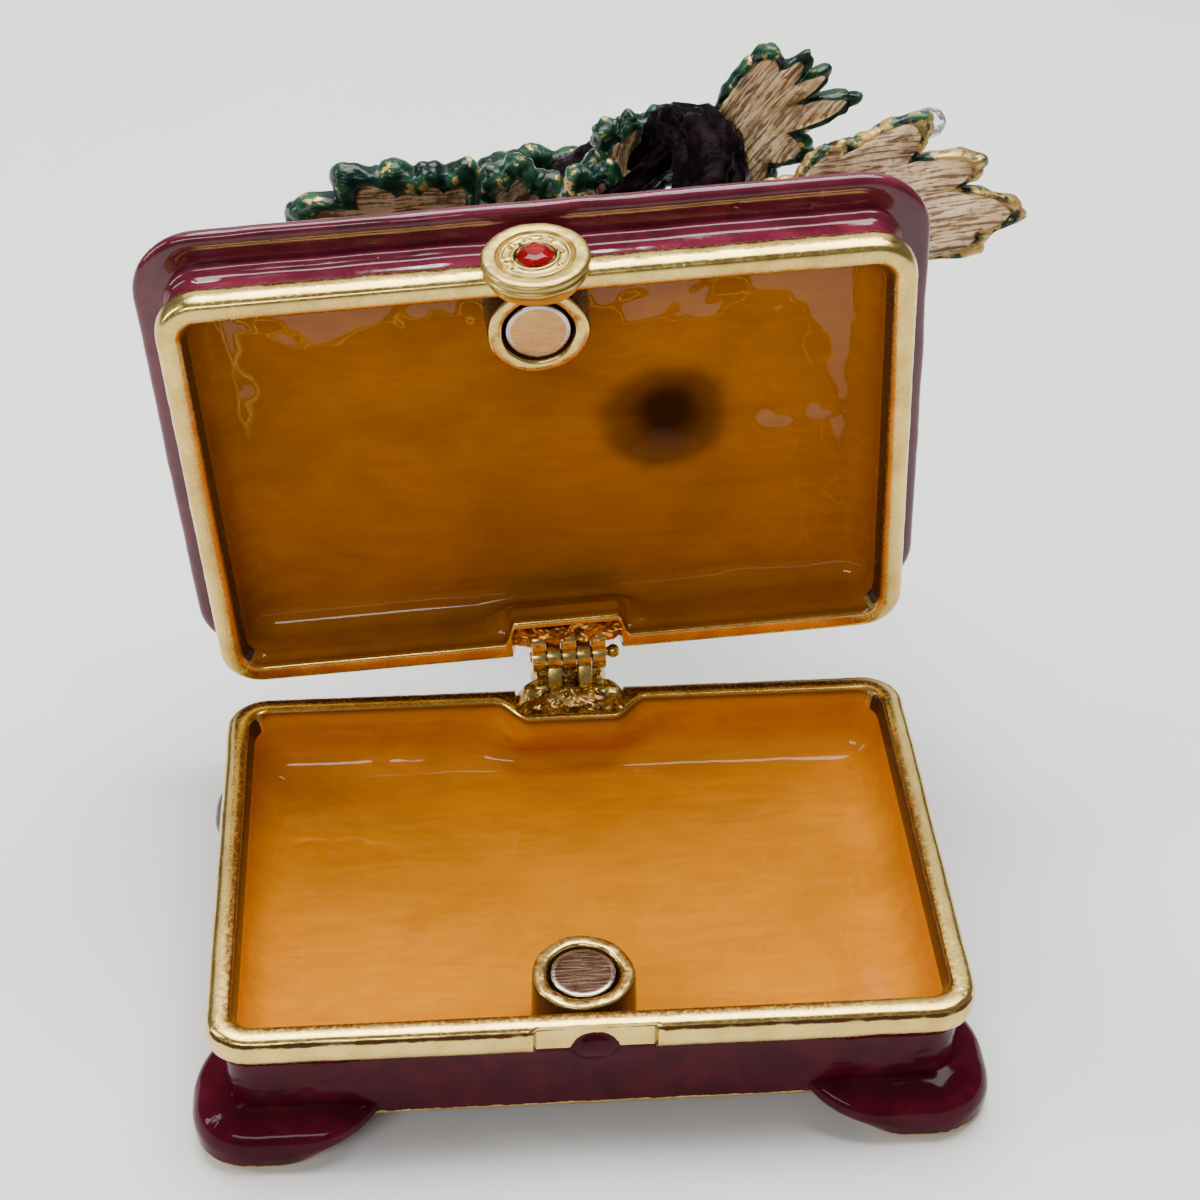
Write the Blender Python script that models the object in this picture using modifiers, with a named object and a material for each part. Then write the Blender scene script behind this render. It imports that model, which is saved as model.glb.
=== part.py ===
# Bonsai trinket box: a footed tray, a hinged lid that carries a small bonsai, two disc magnets, a medallion
# and two crystals. The origin is the middle of the tray's flat underside. The lid is modelled shut and
# stands open about its hinge.
import math

import bmesh
import bpy
import numpy as np
from mathutils import Matrix, Vector

# Sizes in metres
RIM_WIDTH = 0.0600  # box across its gold rims, left to right
RIM_DEPTH = 0.0417  # box across its gold rims, front to back
RIM_CORNER = 0.0036  # outer corner radius of the rims
BAND_HEIGHT = 0.0027  # gold band on the tray and on the lid
RIM_FACE = 0.0014  # flat face on which tray and lid meet
WALL_INSET = 0.0010  # enamelled wall set back behind the gold band
WALL = 0.0014  # thickness of the walls
TRAY_DEPTH = 0.0066  # inside of the tray
TRAY_FLOOR = 0.0017
TRAY_FILLET = 0.0030  # where the tray's walls run into its floor
APRON_DROP = 0.0014  # apron below the flat underside
FOOT_DROP = 0.0029  # feet below the apron
FOOT_LENGTH = 0.0135  # foot along the front
FOOT_WIDTH = 0.0100  # foot along the side
FOOT_SPREAD = 0.0019  # feet past the rim
FOOT_SHOULDER = 0.0020  # foot above the apron's edge
LID_HEIGHT = 0.0077  # shut lid, from its mating face to its lip
LID_DEPTH = 0.0050  # inside of the lid
LID_FILLET = 0.0022  # where the lid's walls run into its ceiling
LIP_OVERHANG = 0.0021  # lid's lip past the rim
LIP_HEIGHT = 0.0015
BEAD_SIZE = 0.0005  # bead under the lip
SOIL_SINK = 0.0006  # soil below the lip's top
MOUND_X = 0.0100  # root mound on the lid
MOUND_Y = -0.0015
MOUND_RADIUS = 0.0066
MOUND_HEIGHT = 0.0022
DIMPLE_RADIUS = 0.0046  # hollow under the mound
DIMPLE_DEPTH = 0.0024
MAGNET_RADIUS = 0.0026
MAGNET_HEIGHT = 0.0020
MAGNET_SINK = 0.00015  # magnet's face below its socket's
SOCKET_WALL = 0.0012  # metal round a magnet
TRAY_MAGNET_X = -0.0006
TRAY_MAGNET_Y = -0.0145
LID_MAGNET_X = -0.0002
LID_MAGNET_Y = -0.0152
MEDALLION_RADIUS = 0.0043
MEDALLION_THICKNESS = 0.0016
MEDALLION_RISE = 0.0004  # medallion's centre above the mating plane
SEAT_DEPTH = 0.0005  # flat in the tray's band behind the medallion
NUB_RADIUS = 0.0019  # half-round nub under that flat
CRYSTAL_RADIUS = 0.00150
CRYSTAL_HEIGHT = 0.0013
HINGE_BACK = 0.0017  # hinge's axis behind the rims
HINGE_RISE = 0.0021  # hinge's axis above the mating plane
HINGE_YAW = math.radians(2.23)  # the hinge sits slightly out of true
HINGE_ROLL = math.radians(1.13)
OPEN_ANGLE = math.radians(83.6)
KNUCKLE_RADIUS = 0.0015
KNUCKLE_LENGTH = 0.00122
KNUCKLES = 5
HINGE_SHIFT = 0.00035  # middle of the hinge right of the box's middle
PIN_RADIUS = 0.0005
PIN_BALL = 0.00065
LEAF_WIDTH = 0.0086  # hinge leaf across the back
LEAF_REACH = 0.0034  # hinge leaf into the box, from the rim's back
LEAF_THICKNESS = 0.0013
POCKET_WALL = 0.0013  # metal round the hinge's pocket
TREE_HEIGHT = 0.0500  # from the mound to the tip
TRUNK_RADIUS = 0.0042  # at the roots
PAD_THICKNESS = 0.0034  # foliage pad at its middle
GLINT_RADIUS = 0.0016  # clear crystal on the right-hand pad
GLINT_REACH = 13.0  # from that pad's root, in the tree's layout units
GLINT_DIRECTION = math.radians(-28)

# Clearances in metres
MATING_GAP = 0.00015  # between the shut rims
SEAT_GAP = 0.0003  # round what is let in or soldered on
KNUCKLE_GAP = 0.00012  # between neighbouring knuckles
PIN_GAP = 0.0001  # pin to knuckle, on the radius

MATING_Z = TRAY_FLOOR + TRAY_DEPTH
FEET_Z = -APRON_DROP - FOOT_DROP
LID_Z = MATING_Z + MATING_GAP
SOIL_Z = LID_Z + LID_HEIGHT - SOIL_SINK
SEAT_Z = SOIL_Z + MOUND_HEIGHT
HALF_X = RIM_WIDTH / 2
HALF_Y = RIM_DEPTH / 2
INNER_INSET = WALL_INSET + WALL
PIVOT = Vector((0, HALF_Y + HINGE_BACK, MATING_Z + HINGE_RISE))
HINGE_AXIS = Vector(
    (
        math.cos(HINGE_ROLL) * math.cos(HINGE_YAW),
        math.sin(HINGE_YAW),
        math.sin(HINGE_ROLL) * math.cos(HINGE_YAW),
    )
)
CORNER_STEPS = 4
FOOT_STEPS = 3

GOLD = ((0.80, 0.62, 0.30), 0.25, 1.0)
RED_ENAMEL = ((0.15, 0.008, 0.02), 0.12, 0.0)
BARK = ((0.05, 0.02, 0.03), 0.25, 0.0)
SILVER = ((0.66, 0.64, 0.62), 0.25, 1.0)
RED_CRYSTAL = ((0.55, 0.0, 0.01), 0.05, 0.0)
CLEAR_CRYSTAL = ((0.9, 0.9, 0.9), 0.03, 0.0)


def clear_scene():
    for item in list(bpy.data.objects):
        bpy.data.objects.remove(item, do_unlink=True)


def new_collection(name):
    made = bpy.data.collections.new(name)
    bpy.context.scene.collection.children.link(made)
    return made


def material(name, look):
    """A Principled material from its colour, roughness and metallic value."""
    colour, roughness, metallic = look
    made = bpy.data.materials.new(name)
    made.use_nodes = True
    shader = made.node_tree.nodes["Principled BSDF"]
    shader.inputs["Base Color"].default_value = (*colour, 1.0)
    shader.inputs["Roughness"].default_value = roughness
    shader.inputs["Metallic"].default_value = metallic
    made.diffuse_color = (*colour, 1.0)
    return made


def mesh_object(name, bm, collection, look=None):
    """The bmesh as an object, with its faces turned outwards."""
    bmesh.ops.recalc_face_normals(bm, faces=bm.faces[:])
    mesh = bpy.data.meshes.new(name)
    bm.to_mesh(mesh)
    bm.free()
    made = bpy.data.objects.new(name, mesh)
    collection.objects.link(made)
    if look:
        mesh.materials.append(material(name, look))
    return made


def helper(made):
    made.hide_render = True
    made.display_type = "WIRE"
    return made


def smooth(made, degrees=35):
    made.data.shade_smooth()
    made.data.set_sharp_from_angle(angle=math.radians(degrees))


def rounded_ring(low_x, high_x, low_y, high_y, radius, z, steps=CORNER_STEPS):
    """Points of a rounded rectangle at height z, counter-clockwise."""
    radius = min(radius, (high_x - low_x) * 0.49, (high_y - low_y) * 0.49)
    corners = (
        (high_x - radius, high_y - radius, 0.0),
        (low_x + radius, high_y - radius, 0.5),
        (low_x + radius, low_y + radius, 1.0),
        (high_x - radius, low_y + radius, 1.5),
    )
    points = []
    for x, y, start in corners:
        for step in range(steps + 1):
            turn = math.pi * (start + 0.5 * step / steps)
            points.append(Vector((x + radius * math.cos(turn), y + radius * math.sin(turn), z)))
    return points


def inset_ring(inset, z, corner=RIM_CORNER):
    """A rounded rectangle inside the rim's outline by inset, or outside it where inset is negative."""
    x, y = HALF_X - inset, HALF_Y - inset
    return rounded_ring(-x, x, -y, y, max(corner - inset, 0.0008), z)


def loft(name, rings, collection, look=None):
    """A closed solid through rings of as many points each, capped at both ends."""
    bm = bmesh.new()
    loops = [[bm.verts.new(point) for point in ring] for ring in rings]
    for lower, upper in zip(loops, loops[1:]):
        for i in range(len(lower)):
            j = (i + 1) % len(lower)
            bm.faces.new((lower[i], lower[j], upper[j], upper[i]))
    bm.faces.new(loops[0][::-1])
    bm.faces.new(loops[-1])
    return mesh_object(name, bm, collection, look)


def box(name, low, high, collection):
    """A helper block between two corners."""
    bpy.ops.mesh.primitive_cube_add(size=1)
    made = bpy.context.object
    made.name = name
    low, high = Vector(low), Vector(high)
    made.data.transform(Matrix.Translation((low + high) / 2) @ Matrix.Diagonal((*(high - low), 1)))
    return placed(made, collection)


def cylinder(name, radius, low, high, x, y, collection, sides=20):
    """An upright helper cylinder from height low to height high."""
    bpy.ops.mesh.primitive_cylinder_add(vertices=sides, radius=radius, depth=high - low)
    made = bpy.context.object
    made.name = name
    made.data.transform(Matrix.Translation((x, y, (low + high) / 2)))
    return placed(made, collection)


def placed(made, collection):
    for other in list(made.users_collection):
        other.objects.unlink(made)
    collection.objects.link(made)
    return made


def combine(target, operation, others):
    """A Boolean of the target with every object of a collection."""
    step = target.modifiers.new(operation.lower(), "BOOLEAN")
    step.operation = operation
    step.operand_type = "COLLECTION"
    step.collection = others
    step.solver = "EXACT"


def helpers_named(name):
    made = bpy.data.collections.new(name)
    helpers.children.link(made)
    return made


def turned(name, profile, collection, steps=20):
    """A profile of (radius, height) pairs, listed from the top axis point down, turned about Z."""
    mesh = bpy.data.meshes.new(name)
    points = [(radius, 0, height) for radius, height in profile]
    mesh.from_pydata(points, [(i, i + 1) for i in range(len(points) - 1)], [])
    made = bpy.data.objects.new(name, mesh)
    collection.objects.link(made)
    screw = made.modifiers.new("turn", "SCREW")
    screw.steps = screw.render_steps = steps
    screw.use_merge_vertices = True
    screw.merge_threshold = 0.00001
    return made


def fillet_rings(inset, floor_z, radius, steps, direction):
    """Rings of a quarter-round fillet from wall to floor. direction is 1 for a floor below."""
    rings = []
    for step in range(steps + 1):
        turn = 0.5 * math.pi * step / steps
        inwards = radius * (1 - math.cos(turn))
        height = radius * (1 - math.sin(turn))
        rings.append(inset_ring(inset + inwards, floor_z + direction * height, RIM_CORNER + 0.0012))
    return rings


def make_tray():
    """The footed tray: a profile carried round the box, with feet, socket, hinge pocket and flat."""
    band_z = MATING_Z - BAND_HEIGHT
    wall = WALL_INSET
    outside = [
        (INNER_INSET + 0.0002, 0.0),
        (INNER_INSET, -0.0003),
        (INNER_INSET - 0.0002, -APRON_DROP),
        (wall + 0.00015, -APRON_DROP),
        (wall, 0.0003 - APRON_DROP),
        (wall + 0.0002, (band_z - APRON_DROP) / 2),
        (wall, band_z - 0.0002),
        (wall * 0.55, band_z),
        (0.00012, band_z + 0.0005),
        (0.0, band_z + BAND_HEIGHT * 0.45),
        (0.0001, MATING_Z - 0.0006),
        (0.00035, MATING_Z - 0.0002),
        (0.0008, MATING_Z),
        (0.0008 + RIM_FACE * 0.45, MATING_Z),
        (RIM_FACE + 0.0002, MATING_Z - 0.0003),
        (INNER_INSET, MATING_Z - 0.0014),
    ]
    rings = [inset_ring(inset, z) for inset, z in outside]
    rings += fillet_rings(INNER_INSET, TRAY_FLOOR, TRAY_FILLET, 3, 1)
    tray = loft("tray", rings, parts, RED_ENAMEL)

    added = helpers_named("tray_additions")
    for side_x in (-1, 1):
        for side_y in (-1, 1):
            make_foot(side_x, side_y, added)
    socket_top = MATING_Z - 0.0001
    socket_radius = MAGNET_RADIUS + SEAT_GAP + SOCKET_WALL
    helper(
        cylinder(
            "tray_socket",
            socket_radius,
            TRAY_FLOOR / 2,
            socket_top,
            TRAY_MAGNET_X,
            TRAY_MAGNET_Y,
            added,
        )
    )
    pocket = pocket_size()
    rings = [
        rounded_ring(-pocket.x, pocket.x, HALF_Y - pocket.y - swell, HALF_Y - wall - WALL / 2, 0.0026, z)
        for swell, z in (
            (0.0012, TRAY_FLOOR / 2),
            (0.0011, TRAY_FLOOR + 0.0016),
            (0.0005, MATING_Z - 0.0022),
            (0.0, MATING_Z - 0.0008),
            (-0.0004, MATING_Z - 0.0003),
        )
    ]
    helper(loft("tray_pocket", rings, added))
    helper(nub(added))
    combine(tray, "UNION", added)

    cut = helpers_named("tray_cuts")
    bottom = socket_top - MAGNET_SINK - MAGNET_HEIGHT - SEAT_GAP
    helper(
        cylinder(
            "tray_socket_bore",
            MAGNET_RADIUS + SEAT_GAP,
            bottom,
            MATING_Z + 0.001,
            TRAY_MAGNET_X,
            TRAY_MAGNET_Y,
            cut,
        )
    )
    leaf = leaf_size()
    helper(
        box(
            "tray_notch",
            (
                HINGE_SHIFT - leaf.x - SEAT_GAP,
                HALF_Y - LEAF_REACH - SEAT_GAP,
                MATING_Z - leaf.z - 2 * SEAT_GAP,
            ),
            (HINGE_SHIFT + leaf.x + SEAT_GAP, HALF_Y + 0.001, MATING_Z + 0.001),
            cut,
        )
    )
    flat = MEDALLION_RADIUS + 0.0004
    helper(
        box(
            "medallion_flat",
            (-flat, -HALF_Y - 0.002, MATING_Z - BAND_HEIGHT),
            (flat, -HALF_Y + SEAT_DEPTH, MATING_Z + 0.001),
            cut,
        )
    )
    combine(tray, "DIFFERENCE", cut)
    smooth(tray)
    return tray


def nub(collection):
    """The half-round nub that stands on the wall under the medallion's flat."""
    bpy.ops.mesh.primitive_cylinder_add(vertices=20, radius=NUB_RADIUS, depth=WALL_INSET + 0.0006)
    made = bpy.context.object
    made.name = "tray_nub"
    turn = Matrix.Rotation(math.pi / 2, 4, "X")
    middle = (0, -HALF_Y + WALL_INSET / 2 + 0.0004, MATING_Z - BAND_HEIGHT - 0.0001)
    made.data.transform(Matrix.Translation(middle) @ turn)
    return placed(made, collection)


def pocket_size():
    """Half width of the hinge pocket's block, and its reach from the rim's back."""
    return Vector((LEAF_WIDTH / 2 + SEAT_GAP + POCKET_WALL, LEAF_REACH + SEAT_GAP + POCKET_WALL, 0))


def leaf_size():
    """Half width of a hinge leaf, and its thickness."""
    return Vector((LEAF_WIDTH / 2, 0, LEAF_THICKNESS))


def make_foot(side_x, side_y, collection):
    """A bracket foot: its outside swells past the rim and its inside steps in from the apron to the sole."""
    tall = FOOT_DROP + FOOT_SHOULDER
    stations = (
        # share of the height, reach past the rim, shares of its length and width
        (1.00, -WALL_INSET - 0.0004, 0.80, 0.80),
        (0.94, -WALL_INSET * 0.9, 1.00, 1.00),
        (0.80, FOOT_SPREAD * 0.50, 1.00, 1.00),
        (0.55, FOOT_SPREAD * 0.96, 0.96, 0.96),
        (0.25, FOOT_SPREAD * 0.98, 0.78, 0.85),
        (0.08, FOOT_SPREAD * 0.78, 0.70, 0.80),
        (0.00, FOOT_SPREAD * 0.40, 0.66, 0.76),
    )
    rings = []
    for share, reach, length, width in stations:
        outer_x, inner_x = HALF_X + reach, HALF_X - FOOT_LENGTH * length
        outer_y, inner_y = HALF_Y + reach, HALF_Y - FOOT_WIDTH * width
        xs = sorted((side_x * outer_x, side_x * inner_x))
        ys = sorted((side_y * outer_y, side_y * inner_y))
        radius = RIM_CORNER + max(reach, 0)
        rings.append(rounded_ring(*xs, *ys, radius, FEET_Z + tall * share, FOOT_STEPS))
    helper(loft(f"foot_{side_x}_{side_y}", rings, collection))


def make_lid():
    """The lid, shut: a profile carried round the box, with lip, root mound, socket and hinge pocket."""
    band_z = LID_Z + BAND_HEIGHT
    top_z = LID_Z + LID_HEIGHT
    ceiling_z = LID_Z + LID_DEPTH
    lip_z = top_z - LIP_HEIGHT
    bead_z = lip_z - BEAD_SIZE * 1.6
    profile = [
        (INNER_INSET, LID_Z + 0.0013),
        (RIM_FACE + 0.0006, LID_Z + 0.0003),
        (RIM_FACE + 0.0004, LID_Z),
        (0.0006, LID_Z),
        (0.0002, LID_Z + 0.0003),
        (0.0, LID_Z + 0.0009),
        (0.0, band_z - 0.0007),
        (0.0003, band_z - 0.0002),
        (WALL_INSET * 0.9, band_z + 0.0001),
        (WALL_INSET, band_z + 0.0006),
        (WALL_INSET, bead_z - BEAD_SIZE),
        (WALL_INSET - BEAD_SIZE, bead_z),
        (WALL_INSET - BEAD_SIZE * 0.5, bead_z + BEAD_SIZE),
        (WALL_INSET * 0.3, lip_z - 0.0002),
        (-LIP_OVERHANG * 0.8, lip_z),
        (-LIP_OVERHANG, lip_z + LIP_HEIGHT * 0.3),
        (-LIP_OVERHANG * 0.95, top_z - LIP_HEIGHT * 0.25),
        (-LIP_OVERHANG * 0.6, top_z),
        (-LIP_OVERHANG * 0.15, top_z - 0.00015),
        (WALL_INSET * 0.4, SOIL_Z + 0.00005),
        (WALL_INSET * 2.0, SOIL_Z),
    ]
    rings = fillet_rings(INNER_INSET, ceiling_z, LID_FILLET, 3, -1)[::-1]
    rings += [inset_ring(inset, z) for inset, z in profile]
    lid = loft("lid", rings, parts, RED_ENAMEL)

    added = helpers_named("lid_additions")
    mound = [
        (0.0, MOUND_HEIGHT),
        (0.82, MOUND_HEIGHT),
        (0.96, MOUND_HEIGHT * 0.72),
        (1.08, MOUND_HEIGHT * 0.35),
        (1.28, 0.0),
        (1.28, -0.0008),
        (0.0, -0.0008),
    ]
    soil_mound = turned("root_mound", [(share * MOUND_RADIUS, rise) for share, rise in mound], added)
    soil_mound.location = (MOUND_X, MOUND_Y, SOIL_Z)
    helper(soil_mound)
    for x, y, radius in stones():
        helper(stone(x, y, radius, added))
    socket_radius = MAGNET_RADIUS + SEAT_GAP + SOCKET_WALL
    helper(
        cylinder(
            "lid_socket",
            socket_radius,
            LID_Z + 0.0001,
            ceiling_z + 0.0008,
            LID_MAGNET_X,
            LID_MAGNET_Y,
            added,
        )
    )
    pocket = pocket_size()
    rings = [
        rounded_ring(
            -pocket.x,
            pocket.x,
            HALF_Y - pocket.y - swell,
            HALF_Y - WALL_INSET - WALL / 2,
            0.0024,
            z,
        )
        for swell, z in (
            (-0.0004, LID_Z + 0.0003),
            (0.0, LID_Z + 0.0008),
            (0.0004, LID_Z + 0.0022),
            (0.0010, ceiling_z - 0.0012),
            (0.0014, ceiling_z + 0.0008),
        )
    ]
    helper(loft("lid_pocket", rings, added))
    combine(lid, "UNION", added)

    cut = helpers_named("lid_cuts")
    helper(
        cylinder(
            "lid_socket_bore",
            MAGNET_RADIUS + SEAT_GAP,
            LID_Z - 0.001,
            LID_Z + 0.0001 + MAGNET_SINK + MAGNET_HEIGHT + SEAT_GAP,
            LID_MAGNET_X,
            LID_MAGNET_Y,
            cut,
        )
    )
    leaf = leaf_size()
    helper(
        box(
            "lid_notch",
            (HINGE_SHIFT - leaf.x - SEAT_GAP, HALF_Y - LEAF_REACH - SEAT_GAP, LID_Z - 0.001),
            (HINGE_SHIFT + leaf.x + SEAT_GAP, HALF_Y + 0.001, MATING_Z + HINGE_RISE + leaf.z / 2 + SEAT_GAP),
            cut,
        )
    )
    hollow = [(0.0, 1.0), (0.45, 0.92), (0.8, 0.62), (0.97, 0.25), (1.12, 0.0), (1.12, -0.4), (0.0, -0.4)]
    hollow_line = [(share * DIMPLE_RADIUS, rise * DIMPLE_DEPTH) for share, rise in hollow]
    dimple = turned("dimple", hollow_line, cut, 20)
    dimple.location = (MOUND_X, MOUND_Y, ceiling_z)
    helper(dimple)
    combine(lid, "DIFFERENCE", cut)
    smooth(lid)
    return lid


def stones():
    """Two small stones on the soil, right of the mound: place and radius."""
    return (
        (MOUND_X + 0.0095, MOUND_Y + 0.0009, 0.0019),
        (MOUND_X + 0.0133, MOUND_Y + 0.0008, 0.0013),
    )


def stone(x, y, radius, collection):
    bpy.ops.mesh.primitive_ico_sphere_add(subdivisions=2, radius=radius)
    made = bpy.context.object
    made.name = "stone"
    place = Matrix.Translation((x, y, SOIL_Z + radius * 0.15))
    made.data.transform(place @ Matrix.Diagonal((1, 0.85, 0.6, 1)))
    return placed(made, collection)


def make_magnet(name, x, y, face_z, direction):
    """A disc magnet whose free face is at face_z. direction is 1 where that face looks up."""
    low, high = sorted((face_z, face_z - direction * MAGNET_HEIGHT))
    disc = cylinder(name, MAGNET_RADIUS, low, high, x, y, parts)
    bevel = disc.modifiers.new("edge", "BEVEL")
    bevel.width = 0.00018
    bevel.segments = 1
    bevel.limit_method = "ANGLE"
    disc.data.materials.append(material(name, SILVER))
    smooth(disc)
    return disc


def make_medallion():
    """The stepped disc on the lid's front band, facing forwards, with a pocket for its crystal."""
    r, t = MEDALLION_RADIUS, MEDALLION_THICKNESS
    hole = CRYSTAL_RADIUS + 0.0001
    profile = [
        (0.0, t - CRYSTAL_HEIGHT * 0.55 - 0.0002),
        (hole, t - CRYSTAL_HEIGHT * 0.55 - 0.0002),
        (hole, t + 0.0001),
        (hole + 0.0003, t + 0.0002),
        (hole + 0.0005, t - 0.0001),
        (r * 0.70, t - 0.0002),
        (r * 0.78, t - 0.0005),
        (r * 0.86, t - 0.0003),
        (r, t - 0.0008),
        (r * 0.96, 0.0),
        (0.0, 0.0),
    ]
    disc = turned("medallion", profile, parts, 20)
    disc.data.materials.append(material("medallion", GOLD))
    place_on_front(disc)
    stone_profile = [
        (0.0, 0.00055),
        (0.0009, 0.00055),
        (CRYSTAL_RADIUS, 0.0),
        (CRYSTAL_RADIUS * 0.93, -0.0002),
        (0.0, 0.0002 - CRYSTAL_HEIGHT * 0.55),
    ]
    gem = turned("medallion_crystal", [(a, h + t) for a, h in stone_profile], parts, 12)
    gem.data.materials.append(material("medallion_crystal", RED_CRYSTAL))
    place_on_front(gem)
    return disc, gem


def place_on_front(made):
    """Turns what was made facing up to face forwards, on the front of the lid's band."""
    made.rotation_euler = (math.pi / 2, 0, 0)
    made.location = (0, -HALF_Y - SEAT_GAP, MATING_Z + MEDALLION_RISE)


def along_hinge(name, radius, start, end, collection, sides=14):
    """A cylinder on the hinge's axis, from start to end along it."""
    bpy.ops.mesh.primitive_cylinder_add(vertices=sides, radius=radius, depth=end - start)
    made = bpy.context.object
    made.name = name
    turn = HINGE_AXIS.to_track_quat("Z", "Y").to_matrix().to_4x4()
    made.data.transform(Matrix.Translation(PIVOT + HINGE_AXIS * ((start + end) / 2)) @ turn)
    return placed(made, collection)


def make_leaf(name, knuckles, plate_low, plate_high):
    """A hinge leaf: a plate let into its notch, with a neck and a bored knuckle at each of its places."""
    leaf = leaf_size()
    plate = box(
        name,
        (HINGE_SHIFT - leaf.x, HALF_Y - LEAF_REACH, plate_low),
        (HINGE_SHIFT + leaf.x, HALF_Y - 0.0002, plate_high),
        parts,
    )
    plate.data.materials.append(material(name, GOLD))
    added = helpers_named(name + "_additions")
    pitch = KNUCKLE_LENGTH + KNUCKLE_GAP
    first = HINGE_SHIFT - pitch * KNUCKLES / 2 + KNUCKLE_GAP / 2
    for place in knuckles:
        start = first + pitch * place
        helper(along_hinge(f"{name}_knuckle", KNUCKLE_RADIUS, start, start + KNUCKLE_LENGTH, added))
        inset = 0.00012
        low = (start + inset, HALF_Y - 0.0010, plate_low + 0.0001)
        neck_top = max(plate_high - 0.0001, PIVOT.z - KNUCKLE_RADIUS * 0.75)
        high = (start + KNUCKLE_LENGTH - inset, PIVOT.y, neck_top)
        helper(box(f"{name}_neck", low, high, added))
    combine(plate, "UNION", added)
    cut = helpers_named(name + "_bore")
    reach = pitch * KNUCKLES
    helper(along_hinge(f"{name}_bore", PIN_RADIUS + PIN_GAP, -reach, reach, cut))
    combine(plate, "DIFFERENCE", cut)
    smooth(plate)
    return plate


def make_hinge():
    """Two leaves with interleaved knuckles, and the pin with its ball end."""
    tray_leaf = make_leaf(
        "hinge_leaf_tray", range(1, KNUCKLES, 2), MATING_Z - LEAF_THICKNESS - SEAT_GAP, MATING_Z - SEAT_GAP
    )
    plate_z = MATING_Z + HINGE_RISE - LEAF_THICKNESS / 2
    lid_leaf = make_leaf("hinge_leaf_lid", range(0, KNUCKLES, 2), plate_z, plate_z + LEAF_THICKNESS)
    half = (KNUCKLE_LENGTH + KNUCKLE_GAP) * KNUCKLES / 2
    end = HINGE_SHIFT + half + SEAT_GAP + PIN_BALL * 0.6
    pin = along_hinge("hinge_pin", PIN_RADIUS, HINGE_SHIFT - half - 0.0001, end, parts, 12)
    pin.data.materials.append(material("hinge_pin", GOLD))
    ball = helpers_named("pin_ball")
    bpy.ops.mesh.primitive_uv_sphere_add(segments=10, ring_count=6, radius=PIN_BALL)
    made = bpy.context.object
    made.name = "hinge_pin_ball"
    made.data.transform(Matrix.Translation(PIVOT + HINGE_AXIS * end))
    helper(placed(made, ball))
    combine(pin, "UNION", ball)
    smooth(pin)
    return tray_leaf, lid_leaf, pin


# The tree is laid out for a height of 50, from the middle of the root mound, and scaled to TREE_HEIGHT.
LAYOUT_HEIGHT = 50.0
TRUNK = (
    # right, back, up, share of the trunk's radius
    (0.0, 0.0, 0.8, 1.05),
    (0.0, 0.0, 3.0, 0.92),
    (2.0, -0.6, 6.5, 0.84),
    (4.2, -2.6, 10.0, 0.78),
    (6.3, -6.1, 16.0, 0.76),
    (6.6, -8.3, 21.5, 0.74),
    (4.6, -7.1, 27.0, 0.58),
    (0.6, -2.1, 33.0, 0.44),
    (-4.4, 4.0, 39.0, 0.34),
    (-7.8, 9.0, 44.5, 0.22),
)
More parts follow.
